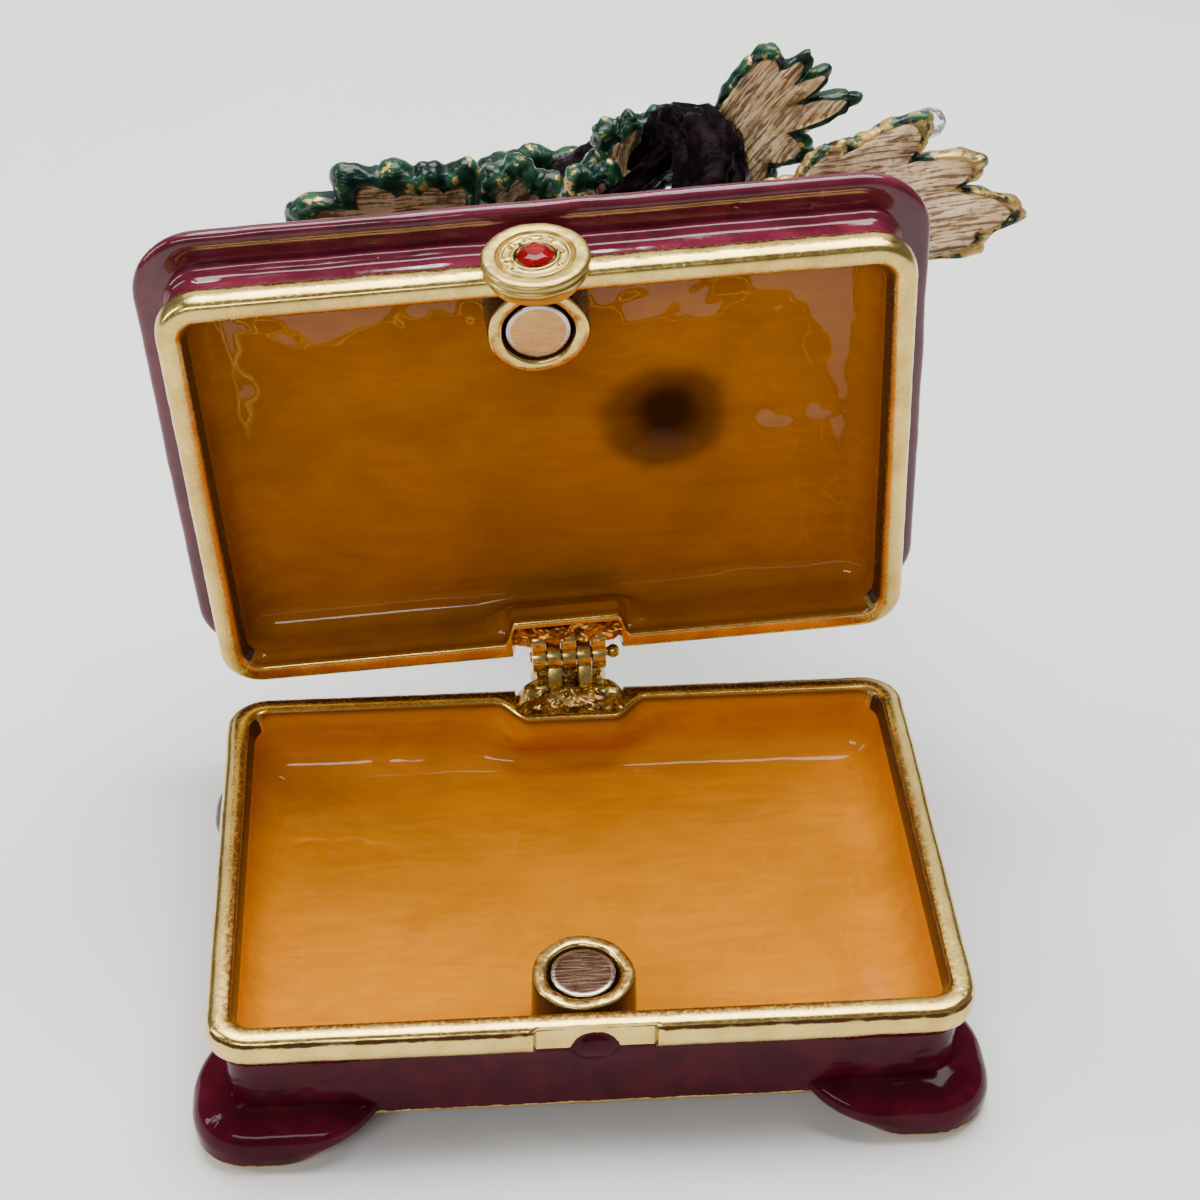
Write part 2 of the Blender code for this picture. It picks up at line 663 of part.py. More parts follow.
# Each pad: root point (right, back, up), tilt to the right and to the back in degrees, thickness share,
# number of points round it, and its fingers: (direction in degrees, length, width).
# Direction 0 is right, 90 back and -90 front.
PADS = {
    "right": (
        (14.0, -6.5, 13.4),
        (2, -3),
        1.0,
        42,
        (
            (-58, 8.8, 5.6),
            (-38, 15.2, 6.0),
            (-14, 18.0, 5.8),
            (4, 21.5, 6.4),
            (14, 18.6, 6.8),
            (58, 12.0, 9.0),
            (100, 8.0, 8.0),
            (200, 5.5, 7.0),
        ),
    ),
    "fan": (
        (9.0, -5.5, 27.4),
        (-3, 2),
        0.85,
        42,
        (
            (-62, 11.2, 5.6),
            (-46, 12.4, 3.4),
            (-32, 13.0, 2.8),
            (-13, 14.0, 3.6),
            (18, 9.6, 5.4),
            (-132, 4.6, 5.5),
            (60, 8.0, 7.0),
            (110, 7.0, 7.0),
        ),
    ),
    "middle": (
        (1.0, -2.7, 28.4),
        (0, 4),
        0.9,
        24,
        (
            (-128, 6.0, 5.0),
            (-96, 6.2, 4.6),
            (-66, 6.6, 4.6),
            (20, 5.0, 6.0),
            (110, 6.0, 7.0),
            (170, 5.5, 6.0),
        ),
    ),
    "inner": (
        (-3.0, -0.1, 25.0),
        (-4, 2),
        0.8,
        22,
        ((-112, 5.6, 4.4), (-78, 5.8, 4.4), (-20, 4.2, 5.0), (90, 5.0, 6.0), (175, 6.0, 5.4)),
    ),
    "crown": (
        (-8.4, 11.3, 44.6),
        (0, 0),
        1.2,
        26,
        (
            (-92, 6.0, 9.0),
            (-146, 7.2, 7.0),
            (-30, 7.8, 7.0),
            (30, 7.4, 7.5),
            (95, 8.2, 8.5),
            (165, 8.0, 7.5),
        ),
    ),
    "left": (
        (-18.0, -7.5, 11.6),
        (-2, -2),
        0.95,
        42,
        (
            (-158, 14.4, 6.8),
            (-132, 12.4, 6.2),
            (-112, 9.8, 5.6),
            (-88, 9.0, 5.8),
            (-66, 9.4, 5.2),
            (-20, 7.0, 7.0),
            (60, 7.5, 8.0),
            (110, 7.5, 9.0),
            (165, 9.0, 8.0),
        ),
    ),
    "left_front": (
        (-10.8, -7.8, 15.4),
        (4, -4),
        0.75,
        22,
        ((-120, 5.2, 4.6), (-84, 5.8, 4.8), (-40, 5.4, 4.6), (30, 5.0, 5.0), (140, 5.0, 5.5)),
    ),
    "left_back": (
        (-32.0, 10.5, 8.2),
        (-4, 3),
        1.0,
        28,
        (
            (178, 12.4, 7.5),
            (148, 10.5, 7.5),
            (206, 9.5, 7.0),
            (100, 8.4, 8.5),
            (40, 8.6, 8.0),
            (-40, 8.4, 8.0),
            (-95, 7.5, 8.0),
        ),
    ),
    "right_back": (
        (10.0, 9.5, 19.0),
        (3, 5),
        0.95,
        26,
        (
            (10, 11.5, 8.0),
            (45, 10.5, 8.0),
            (85, 9.6, 8.0),
            (130, 8.0, 8.0),
            (-40, 7.0, 7.5),
            (200, 7.0, 7.5),
        ),
    ),
    "back": (
        (-17.0, 12.5, 30.0),
        (-3, 4),
        1.0,
        26,
        (
            (170, 10.5, 8.0),
            (130, 9.8, 7.6),
            (80, 8.6, 8.0),
            (20, 7.6, 8.0),
            (-60, 7.0, 8.0),
            (-120, 8.6, 8.0),
        ),
    ),
}
# Each branch: share along the trunk, the name of the pad at its end, a bend point (right, back, up), and its
# radius at the start and at the end
BRANCHES = (
    (0.32, "right", (8.5, -5.1, 11.6), 2.3, 1.6),
    (0.55, "fan", (8.2, -7.1, 24.6), 2.2, 1.6),
    (0.62, "middle", (3.4, -5.9, 27.2), 1.8, 1.3),
    (0.62, "inner", (-0.6, -2.9, 24.4), 1.4, 1.0),
    (0.28, "left", (-8.0, -4.6, 7.6), 2.4, 1.6),
    (0.40, "left_front", (-3.4, -6.6, 12.4), 1.5, 1.0),
    (0.14, "left_back", (-15.0, 7.4, 5.6), 2.2, 1.4),
    (0.36, "right_back", (8.2, 3.4, 15.4), 2.0, 1.4),
    (0.74, "back", (-8.8, 7.4, 30.2), 1.6, 1.3),
)


def tree_point(point):
    """A point of the tree's layout, in metres on the shut lid."""
    scale = TREE_HEIGHT / LAYOUT_HEIGHT
    return Vector((MOUND_X + point[0] * scale, MOUND_Y + point[1] * scale, SEAT_Z + point[2] * scale))


def trunk_at(share):
    """Point of the trunk's line at a share of its height list, in layout units."""
    place = share * (len(TRUNK) - 1)
    i = min(int(place), len(TRUNK) - 2)
    low, high = Vector(TRUNK[i][:3]), Vector(TRUNK[i + 1][:3])
    return low.lerp(high, place - i)


def tube(name, points, radii, collection, sides_step=1):
    """A smooth tapering tube through the points, made a mesh."""
    data = bpy.data.curves.new(name, "CURVE")
    data.dimensions = "3D"
    data.bevel_depth = 1.0
    data.bevel_resolution = sides_step
    data.use_fill_caps = True
    data.resolution_u = 2
    line = data.splines.new("NURBS")
    line.points.add(len(points) - 1)
    for spot, point, radius in zip(line.points, points, radii):
        spot.co = (*point, 1.0)
        spot.radius = radius
    line.use_endpoint_u = True
    line.order_u = 3
    guide = bpy.data.objects.new(name + "_curve", data)
    collection.objects.link(guide)
    bpy.context.view_layer.update()
    mesh = bpy.data.meshes.new_from_object(guide.evaluated_get(bpy.context.evaluated_depsgraph_get()))
    bpy.data.objects.remove(guide, do_unlink=True)
    bm = bmesh.new()
    bm.from_mesh(mesh)
    bmesh.ops.remove_doubles(bm, verts=bm.verts[:], dist=0.00001)
    return mesh_object(name, bm, collection)


def pad_edge(fingers, angles):
    """Distance from a pad's root to its edge at each angle: the farthest way out of any finger's ellipse."""
    edge = np.zeros_like(angles)
    for direction, length, width in fingers:
        back = width * 0.45
        half_long, half_wide = (length + back) / 2, width / 2
        middle = (length - back) / 2
        turn = angles - math.radians(direction)
        a = (np.cos(turn) / half_long) ** 2 + (np.sin(turn) / half_wide) ** 2
        b = middle * np.cos(turn) / half_long**2
        c = (middle / half_long) ** 2 - 1
        edge = np.maximum(edge, (b + np.sqrt(b * b - a * c)) / a)
    return edge


# Profile of a pad: share of the edge distance, share of the thickness, share of the knobs
PAD_PROFILE = (
    (0.42, 0.94, 1.0),
    (0.78, 0.76, 1.0),
    (1.00, 0.34, 0.3),
    (0.94, 0.00, 0.0),
)


def pad_rings(fingers, thickness, count):
    """Rings of a foliage pad round its root: a bumpy dome above a rounded edge and a flat underside."""
    angles = np.arange(count) * 2 * np.pi / count
    edge = pad_edge(fingers, angles)
    knob = 1 + 0.16 * np.cos(angles * 7) * np.cos(angles * 4 + 1)
    rings = []
    for share, rise, knobs in PAD_PROFILE:
        reach = edge * share
        height = thickness * rise * (1 + (knob - 1) * knobs)
        rings.append(np.stack([reach * np.cos(angles), reach * np.sin(angles), height], axis=1))
    return rings


def pad_turn(tilt):
    return Matrix.Rotation(math.radians(tilt[0]), 3, "Y") @ Matrix.Rotation(math.radians(tilt[1]), 3, "X")


def make_pad(name, pad, collection):
    """One foliage pad, tilted and set on its root point."""
    root, tilt, share, count, fingers = pad
    scale = TREE_HEIGHT / LAYOUT_HEIGHT
    fingers = [(direction, length * scale, width * scale) for direction, length, width in fingers]
    thickness = PAD_THICKNESS * share
    turn = pad_turn(tilt)
    place = tree_point(root)
    bm = bmesh.new()
    loops = []
    for ring in pad_rings(fingers, thickness, count):
        loops.append([bm.verts.new(turn @ Vector(point) + place) for point in ring])
    for upper, lower in zip(loops, loops[1:]):
        for i in range(count):
            j = (i + 1) % count
            bm.faces.new((upper[i], lower[i], lower[j], upper[j]))
    top = bm.verts.new(turn @ Vector((0, 0, thickness)) + place)
    low = bm.verts.new(turn @ Vector((0, 0, thickness * 0.08)) + place)
    for i in range(count):
        j = (i + 1) % count
        bm.faces.new((top, loops[0][i], loops[0][j]))
        bm.faces.new((low, loops[-1][j], loops[-1][i]))
    return mesh_object(name, bm, collection)


def make_tree():
    """The bonsai as one casting: trunk, root flare, branches and foliage pads."""
    scale = TREE_HEIGHT / LAYOUT_HEIGHT
    points = [tree_point(place[:3]) for place in TRUNK]
    radii = [TRUNK_RADIUS * place[3] for place in TRUNK]
    tree = tube("bonsai_tree", points, radii, parts, 2)
    tree.data.materials.append(material("bonsai_tree", BARK))
    added = helpers_named("tree_pieces")
    roots = [
        (direction, TRUNK_RADIUS * reach, TRUNK_RADIUS * 0.8)
        for direction, reach in ((15, 1.35), (80, 1.2), (140, 1.4), (200, 1.25), (265, 1.3), (320, 1.2))
    ]
    helper(make_roots(roots, added))
    helper(glint_seat(added))
    for name, pad in PADS.items():
        helper(make_pad("pad_" + name, pad, added))
    for share, name, bend, start, end in BRANCHES:
        root = Vector(PADS[name][0])
        line = [trunk_at(share), Vector(bend), root + Vector((0, 0, 1.1))]
        widths = [start * scale, (start + end) / 2 * scale, end * scale]
        helper(tube("branch_" + name, [tree_point(point) for point in line], widths, added))
    combine(tree, "UNION", added)
    smooth(tree, 50)
    return tree


def make_roots(roots, collection):
    """The root flare: a lobed foot of the trunk, flat below, just clear of the mound."""
    count = 26
    angles = np.arange(count) * 2 * np.pi / count
    edge = pad_edge(roots, angles)
    low = SEAT_GAP
    rings = []
    for share, rise in ((0.45, 0.0026), (0.8, 0.0014), (1.0, 0.0006), (0.97, 0.0)):
        rings.append(
            [
                Vector(
                    (
                        MOUND_X + d * share * math.cos(t),
                        MOUND_Y + d * share * math.sin(t),
                        SEAT_Z + low + rise,
                    )
                )
                for t, d in zip(angles, edge)
            ]
        )
    return loft("roots", rings[::-1], collection)


def glint_place():
    """Turn and foot point of the clear crystal, between two fingers of the right-hand pad."""
    root, tilt, share, count, fingers = PADS["right"]
    scale = TREE_HEIGHT / LAYOUT_HEIGHT
    turn = pad_turn(tilt)
    reach = GLINT_REACH * scale
    foot = Vector(
        (
            reach * math.cos(GLINT_DIRECTION),
            reach * math.sin(GLINT_DIRECTION),
            PAD_THICKNESS * share * 0.95,
        )
    )
    return turn, tree_point(root) + turn @ foot


def glint_seat(collection):
    """The short post under the clear crystal, rising out of the pad."""
    turn, foot = glint_place()
    low = -PAD_THICKNESS * 0.75
    seat = cylinder("glint_seat", GLINT_RADIUS * 0.75, low, 0, 0, 0, collection, 10)
    seat.data.transform(Matrix.Translation(foot) @ turn.to_4x4())
    return seat


def make_glint():
    """The clear crystal that stands on the right-hand pad, near its front edge."""
    turn, foot = glint_place()
    r = GLINT_RADIUS
    profile = [
        (0.0, r * 0.9),
        (r * 0.6, r * 0.9),
        (r, r * 0.45),
        (r * 0.95, r * 0.3),
        (r * 0.3, 0.0),
        (0.0, 0.0),
    ]
    gem = turned("tree_crystal", profile, parts, 12)
    gem.data.materials.append(material("tree_crystal", CLEAR_CRYSTAL))
    gem.location = foot + turn @ Vector((0, 0, SEAT_GAP))
    gem.rotation_euler = turn.to_euler()
    return gem


def stand_open(moving):
    """Hangs the lid's pieces on an empty on the hinge's axis, and swings them open."""
    hinge = bpy.data.objects.new("lid_hinge_axis", None)
    parts.objects.link(hinge)
    hinge.location = PIVOT
    hinge.rotation_mode = "AXIS_ANGLE"
    shapes = [step.collection for piece in moving for step in piece.modifiers if step.type == "BOOLEAN"]
    for piece in moving + [item for group in shapes for item in group.objects]:
        piece.parent = hinge
        piece.matrix_parent_inverse = Matrix.Translation(-PIVOT)
    hinge.rotation_axis_angle = (-OPEN_ANGLE, *HINGE_AXIS)


clear_scene()
parts = new_collection("bonsai_trinket_box")
helpers = new_collection("cutters")
make_tray()
lid_pieces = [make_lid()]
make_magnet("tray_magnet", TRAY_MAGNET_X, TRAY_MAGNET_Y, MATING_Z - 0.0001 - MAGNET_SINK, 1)
lid_pieces.append(make_magnet("lid_magnet", LID_MAGNET_X, LID_MAGNET_Y, LID_Z + 0.0001 + MAGNET_SINK, -1))
lid_pieces.extend(make_medallion())
tray_hinge_leaf, lid_hinge_leaf, hinge_pin = make_hinge()
lid_pieces.append(lid_hinge_leaf)
lid_pieces.append(make_tree())
lid_pieces.append(make_glint())
stand_open(lid_pieces)
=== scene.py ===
# Bonsai trinket box: the looks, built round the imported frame. Lengths in the tables are in millimetres.
import math

import bmesh
import bpy
import numpy as np
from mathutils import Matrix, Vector


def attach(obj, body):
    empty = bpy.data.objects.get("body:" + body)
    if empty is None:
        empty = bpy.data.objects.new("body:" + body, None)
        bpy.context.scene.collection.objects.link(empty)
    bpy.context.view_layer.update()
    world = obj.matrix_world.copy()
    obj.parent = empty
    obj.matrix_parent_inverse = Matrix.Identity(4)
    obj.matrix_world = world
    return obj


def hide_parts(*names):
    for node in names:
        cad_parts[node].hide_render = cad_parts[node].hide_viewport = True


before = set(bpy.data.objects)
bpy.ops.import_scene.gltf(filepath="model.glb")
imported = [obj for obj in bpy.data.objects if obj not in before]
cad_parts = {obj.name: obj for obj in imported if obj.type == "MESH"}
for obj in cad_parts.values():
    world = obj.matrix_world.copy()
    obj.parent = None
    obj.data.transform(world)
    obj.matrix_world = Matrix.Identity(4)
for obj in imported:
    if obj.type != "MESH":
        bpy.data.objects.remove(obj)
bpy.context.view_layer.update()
print("frame loaded:", ", ".join(sorted(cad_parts)))

mm = 0.001
box = {
    "halfX": 30.0,  # across the rims
    "halfY": 20.85,
    "corner": 3.6,
    "rimZ": 8.3,
    "lidZ": 8.45,
    "inner": 2.4,  # from the rim's outside to the inside of the wall
    "innerCorner": 4.8,
    "filletSteps": 11,
}
hinge = {
    "pivot": (0.0, 22.55, 10.4),
    "axis": (0.999049, 0.038911, 0.019706),
    "open": 83.6,  # degrees
    "shift": 0.35,
}


# shared shape tools


def smoothStep(low, high, value):
    # 0 below low, 1 above high, and 3t^2 - 2t^3 between
    t = np.clip((value - low) / (high - low), 0, 1)
    return t * t * (3 - 2 * t)


def openOut(points):
    # turns closed places by the open angle about the hinge's axis: v cos + (a x v) sin + a (a.v)(1 - cos)
    axis = np.array(hinge["axis"])
    axis = axis / np.linalg.norm(axis)
    pivot = np.array(hinge["pivot"])
    turn = math.radians(-hinge["open"])
    v = points - pivot
    along = (v @ axis)[..., None] * axis
    return pivot + v * math.cos(turn) + np.cross(axis, v) * math.sin(turn) + along * (1 - math.cos(turn))


def cellValue(cells, seed):
    # a number from 0 to 1 for each whole-numbered cell, from a mix of its three indices
    n = cells.astype(np.int64)
    h = (n[..., 0] * 73856093) ^ (n[..., 1] * 19349663) ^ (n[..., 2] * 83492791) ^ (seed * 2654435)
    h = (h ^ (h >> 13)) * 1274126177 & 0x7FFFFFFF
    h = (h ^ (h >> 15)) * 668265263 & 0x7FFFFFFF
    return (h ^ (h >> 11)) % 65536 / 65536


def noise(points, size, seed=0):
    # values at the corners of cells of this size, blended by smooth steps, from -1 to 1
    p = points / size
    base = np.floor(p)
    t = p - base
    t = t * t * (3 - 2 * t)
    total = np.zeros(points.shape[:-1])
    for corner in np.ndindex(2, 2, 2):
        offset = np.array(corner)
        weight = np.prod(np.where(offset == 1, t, 1 - t), axis=-1)
        total = total + weight * cellValue(base + offset, seed)
    return total * 2 - 1


def roughNoise(points, size, seed=0, layers=3):
    # layers of noise, each half the size and half the height of the one before
    return sum(noise(points, size / 2**i, seed + i) / 2**i for i in range(layers))


def pebbles(points, size, seed=0):
    # round bumps packed in cells: 1 at a bump's middle, falling as the square of the distance to its edge
    p = points / size
    base = np.floor(p)
    nearest = np.full(points.shape[:-1], 9.0)
    for corner in np.ndindex(3, 3, 3):
        cell = base + np.array(corner) - 1
        spot = cell + 0.5 + 0.4 * (np.stack([cellValue(cell, seed + k) for k in (0, 1, 2)], axis=-1) * 2 - 1)
        nearest = np.minimum(nearest, np.sum((p - spot) ** 2, axis=-1))
    return np.clip(1 - nearest * 1.6, 0, 1)


def roundedLine(points, times=2):
    # cuts each corner of a line of points at a quarter and three quarters, several times, keeping the ends
    line = np.array(points, float)
    for _ in range(times):
        near = line[:-1] * 0.75 + line[1:] * 0.25
        far = line[:-1] * 0.25 + line[1:] * 0.75
        middle = np.stack([near, far], axis=1).reshape(-1, line.shape[1])
        line = np.concatenate([line[:1], middle[1:-1], line[-1:]])
    return line


def evenLine(points, step):
    # the same line with points at an even step along it, keeping the ends
    line = np.array(points, float)
    along = np.concatenate([[0], np.cumsum(np.linalg.norm(np.diff(line[:, :2], axis=0), axis=1))])
    count = max(int(along[-1] / step) + 2, 3)
    at = np.linspace(0, along[-1], count)
    return np.stack([np.interp(at, along, line[:, k]) for k in range(line.shape[1])], axis=1)


def aroundBox(longSteps, shortSteps, cornerSteps):
    # the way round a rounded rectangle: which corner's centre (as -1 to 1 shares) and the outward angle;
    # the long sides' steps are closer at the middle, by t + 0.45 sin(2 pi t) / 2 pi
    quarter = np.linspace(0, 0.5 * np.pi, cornerSteps, endpoint=False)
    kx, ky, angle = [], [], []
    for turn, fromX, fromY, toX, toY, steps in (
        (0.0, 1, 1, -1, 1, longSteps),
        (0.5, -1, 1, -1, -1, shortSteps),
        (1.0, -1, -1, 1, -1, longSteps),
        (1.5, 1, -1, 1, 1, shortSteps),
    ):
        slide = np.linspace(0, 1, steps, endpoint=False)
        slide = slide + 0.45 * np.sin(2 * np.pi * slide) / (2 * np.pi) * (fromY == toY)
        kx += [np.full(cornerSteps, fromX), fromX + (toX - fromX) * slide]
        ky += [np.full(cornerSteps, fromY), fromY + (toY - fromY) * slide]
        angle += [turn * np.pi + quarter, np.full(steps, (turn + 0.5) * np.pi)]
    return np.concatenate(kx), np.concatenate(ky), np.concatenate(angle)


def carriedRound(way, halfX, halfY, radius, z, centreX=0.0, centreY=0.0):
    # rounded rectangles stacked by a profile: centre share times (half size - radius), plus radius outwards
    kx, ky, angle = (a[:, None] for a in way)
    x = centreX + kx * (halfX - radius) + radius * np.cos(angle)
    y = centreY + ky * (halfY - radius) + radius * np.sin(angle)
    return np.stack([x, y, np.broadcast_to(z, x.shape)], axis=-1)


def grid(points, zone=0, roundU=True, roundV=False, **values):
    # a surface from a grid of points: neighbours joined in fours, and wrapped round where it closes
    nu, nv = points.shape[:2]
    index = np.arange(nu * nv).reshape(nu, nv)
    u = np.arange(nu if roundU else nu - 1)[:, None]
    v = np.arange(nv if roundV else nv - 1)[None, :]
    u2, v2 = (u + 1) % nu, (v + 1) % nv
    quads = np.stack([index[u, v], index[u2, v], index[u2, v2], index[u, v2]], axis=-1).reshape(-1, 4)
    layers = {name: np.broadcast_to(value, (nu, nv)).ravel() for name, value in values.items()}
    zones = np.broadcast_to(zone, (len(u), v.size)).ravel()
    return {"points": points.reshape(-1, 3), "quads": quads, "zone": zones, "layers": layers}


def turned(line, centre, axis, steps, sway=0.0):
    # a profile of radius and height carried round an axis: centre + height * axis + radius * (cos, sin)
    # across it, the radius swaying by sin 3t and sin 7t where asked
    line = np.asarray(line, float)
    axis = np.array(axis, float) / np.linalg.norm(axis)
    side = np.cross(axis, (1.0, 0.0, 0.0) if abs(axis[0]) < 0.9 else (0.0, 1.0, 0.0))
    side = side / np.linalg.norm(side)
    other = np.cross(axis, side)
    turn = np.linspace(0, 2 * np.pi, steps, endpoint=False)[:, None]
    radius = line[None, :, 0] * (1 + sway * np.sin(3 * turn + 1) + 0.7 * sway * np.sin(7 * turn))
    across = np.cos(turn)[..., None] * side + np.sin(turn)[..., None] * other
    return np.array(centre, float) + radius[..., None] * across + line[None, :, 1, None] * axis


def hingeWindow(x, inner=4.3, outer=7.4):
    # 1 across the hinge leaf's width, falling smoothly to 0 beyond it
    return smoothStep(outer, inner, np.abs(x - hinge["shift"]))


def makePiece(name, surfaces, finishes, body, node=None, merge=0.0008, sharp=40):
    # joins surfaces into one mesh, merges seams and poles, turns faces outwards and hangs it on its body
    layerNames = sorted({key for surface in surfaces for key in surface["layers"]})
    points = np.concatenate([surface["points"] for surface in surfaces])
    starts = np.cumsum([0] + [len(surface["points"]) for surface in surfaces[:-1]])
    quads = np.concatenate([surface["quads"] + start for surface, start in zip(surfaces, starts)])
    zones = np.concatenate([surface["zone"] for surface in surfaces])
    mesh = bpy.data.meshes.new(name)
    mesh.vertices.add(len(points))
    mesh.loops.add(quads.size)
    mesh.polygons.add(len(quads))
    mesh.vertices.foreach_set("co", (points * mm).astype(np.float32).ravel())
    mesh.loops.foreach_set("vertex_index", quads.astype(np.int32).ravel())
    mesh.polygons.foreach_set("loop_start", np.arange(0, quads.size, 4, dtype=np.int32))
    for finish in finishes:
        mesh.materials.append(finish)
    mesh.polygons.foreach_set("material_index", zones.astype(np.int32))
    for key in layerNames:
        parts = [s["layers"].get(key, np.zeros(len(s["points"]))) for s in surfaces]
        made = mesh.attributes.new(key, "FLOAT", "POINT")
        made.data.foreach_set("value", np.concatenate(parts).astype(np.float32))
    mesh.update()
    mesh.validate()
    work = bmesh.new()
    work.from_mesh(mesh)
    bmesh.ops.remove_doubles(work, verts=work.verts[:], dist=merge * mm)
    bmesh.ops.dissolve_degenerate(work, edges=work.edges[:], dist=merge * mm * 0.1)
    bmesh.ops.recalc_face_normals(work, faces=work.faces[:])
    work.to_mesh(mesh)
    work.free()
    mesh.shade_smooth()
    mesh.set_sharp_from_angle(angle=math.radians(sharp))
    piece = bpy.data.objects.new(name, mesh)
    bpy.context.scene.collection.objects.link(piece)
    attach(piece, body)
    if node:
        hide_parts(*([node] if isinstance(node, str) else node))
    print(f"{name}: {len(mesh.polygons)} faces")
    return piece


# finishes: each is a small tree of nodes on object coordinates and on the piece's own layers


def newFinish(name):
    # a material, its node tree and its shader
    finish = bpy.data.materials.new(name)
    finish.use_nodes = True
    return finish, finish.node_tree, finish.node_tree.nodes["Principled BSDF"]


def addNode(tree, kind, **settings):
    # a node with its settings
    made = tree.nodes.new(kind)
    for key, value in settings.items():
        setattr(made, key, value)
    return made


def feed(tree, node, values):
    # fills a node's inputs: an output is linked, and a number or a colour is set
    for key, value in values.items():
        if isinstance(value, bpy.types.NodeSocket):
            tree.links.new(value, node.inputs[key])
        else:
            node.inputs[key].default_value = (*value, 1.0) if isinstance(value, tuple) else value


def objectPlace(tree):
    # the object's own coordinates, in metres
    return addNode(tree, "ShaderNodeTexCoord").outputs["Object"]


def layer(tree, name):
    # one of the layers that the piece carries at its points
    return addNode(tree, "ShaderNodeAttribute", attribute_name=name).outputs["Fac"]


def speckle(tree, place, scale, detail=4.0, rough=0.55, distortion=0.0, stretch=None):
    # noise over the object's own coordinates, in cells per metre, stretched where asked
    if stretch:
        mapping = addNode(tree, "ShaderNodeMapping")
        mapping.inputs["Scale"].default_value = stretch
        tree.links.new(place, mapping.inputs["Vector"])
        place = mapping.outputs["Vector"]
    made = addNode(tree, "ShaderNodeTexNoise")
    values = {"Vector": place, "Scale": scale, "Detail": detail, "Roughness": rough, "Distortion": distortion}
    feed(tree, made, values)
    return made.outputs["Fac"]


def ranged(tree, value, fromLow, fromHigh, toLow=0.0, toHigh=1.0):
    # the value moved from one range to another, and held inside it
    made = addNode(tree, "ShaderNodeMapRange", clamp=True, interpolation_type="SMOOTHSTEP")
    values = {"Value": value, "From Min": fromLow, "From Max": fromHigh, "To Min": toLow, "To Max": toHigh}
    feed(tree, made, values)
    return made.outputs["Result"]


def sums(tree, operation, first, second):
    # one step of arithmetic on two numbers or outputs
    made = addNode(tree, "ShaderNodeMath", operation=operation)
    feed(tree, made, {0: first, 1: second})
    return made.outputs[0]


def plusShare(tree, base, extra, share):
    # base + share * extra
    return sums(tree, "ADD", base, sums(tree, "MULTIPLY", extra, share))


def blended(tree, share, low, high):
    # a colour between two, by a share; each is a colour or another colour socket
    made = addNode(tree, "ShaderNodeMix", data_type="RGBA")
    feed(tree, made, {"Factor": share, 6: low, 7: high})
    return made.outputs[2]


def mixedValue(tree, share, low, high):
    # a number between two, by a share
    made = addNode(tree, "ShaderNodeMix")
    feed(tree, made, {"Factor": share, 2: low, 3: high})
    return made.outputs[0]


def bumpFrom(tree, shader, height, strength, distance=0.0001):
    # relief in the shading only, with its distance in metres
    made = addNode(tree, "ShaderNodeBump")
    feed(tree, made, {"Height": height, "Strength": strength, "Distance": distance})
    feed(tree, shader, {"Normal": made.outputs["Normal"]})


goldLook = {
    "bright": (0.73, 0.525, 0.155),
    "worn": (0.56, 0.365, 0.095),
    # dark brown for random spots, and for painted shade and painted reflection
    "spotAndShade": (0.070, 0.030, 0.012),
    "rough": (0.17, 0.30),
}
satinLook = {
    "bright": (0.52, 0.385, 0.115),
    "worn": (0.42, 0.29, 0.075),
    "spotAndShade": goldLook["spotAndShade"],
    "rough": (0.30, 0.42),
}
solderLook = {
    "bright": (0.66, 0.45, 0.14),
    "worn": (0.40, 0.21, 0.055),
    "spotAndShade": (0.035, 0.016, 0.010),
    "rough": (0.18, 0.40),
}
sheetLook = {
    "bright": (0.62, 0.29, 0.055),
    "worn": (0.50, 0.21, 0.035),
    "spotAndShade": solderLook["spotAndShade"],
    "rough": (0.26, 0.42),
}


def makeGold(name, look, wear=0.35, grain=2600.0, bump=0.10):
    # plated gold: brighter and browner patches, dark spots, grain in the roughness, and painted shade where
    # the pit layer is high
    finish, tree, shader = newFinish(name)
    place = objectPlace(tree)
    patches = ranged(tree, speckle(tree, place, 320, 4), 0.35, 0.7)
    colour = blended(tree, patches, look["bright"], look["worn"])
    spots = ranged(tree, speckle(tree, place, 900, 6, 0.7), 0.66, 0.78, 0.0, wear)
    # painted shade where the pit layer is high, on top of the random dark spots
    hollow = sums(tree, "MAXIMUM", spots, ranged(tree, layer(tree, "pit"), 0.25, 0.75, 0.0, 0.94))
    fine = speckle(tree, place, grain, 3)
    values = {
        "Base Color": blended(tree, hollow, colour, look["spotAndShade"]),
        "Metallic": 1.0,
        "Roughness": ranged(tree, fine, 0.3, 0.7, *look["rough"]),
    }
    feed(tree, shader, values)
    bumpFrom(tree, shader, plusShare(tree, fine, patches, 0.6), bump)
    return finish


enamelLook = {
    "deep": (0.042, 0.0020, 0.0070),
    "light": (0.072, 0.0040, 0.0120),
    "fired": (0.085, 0.008, 0.012),
    "rough": (0.05, 0.14),
    "shine": 0.08,
}
litEnamelLook = {
    "deep": (0.075, 0.0070, 0.0160),
    "light": (0.130, 0.0140, 0.0300),
    "fired": enamelLook["fired"],
    "rough": enamelLook["rough"],
    "shine": 0.45,
}


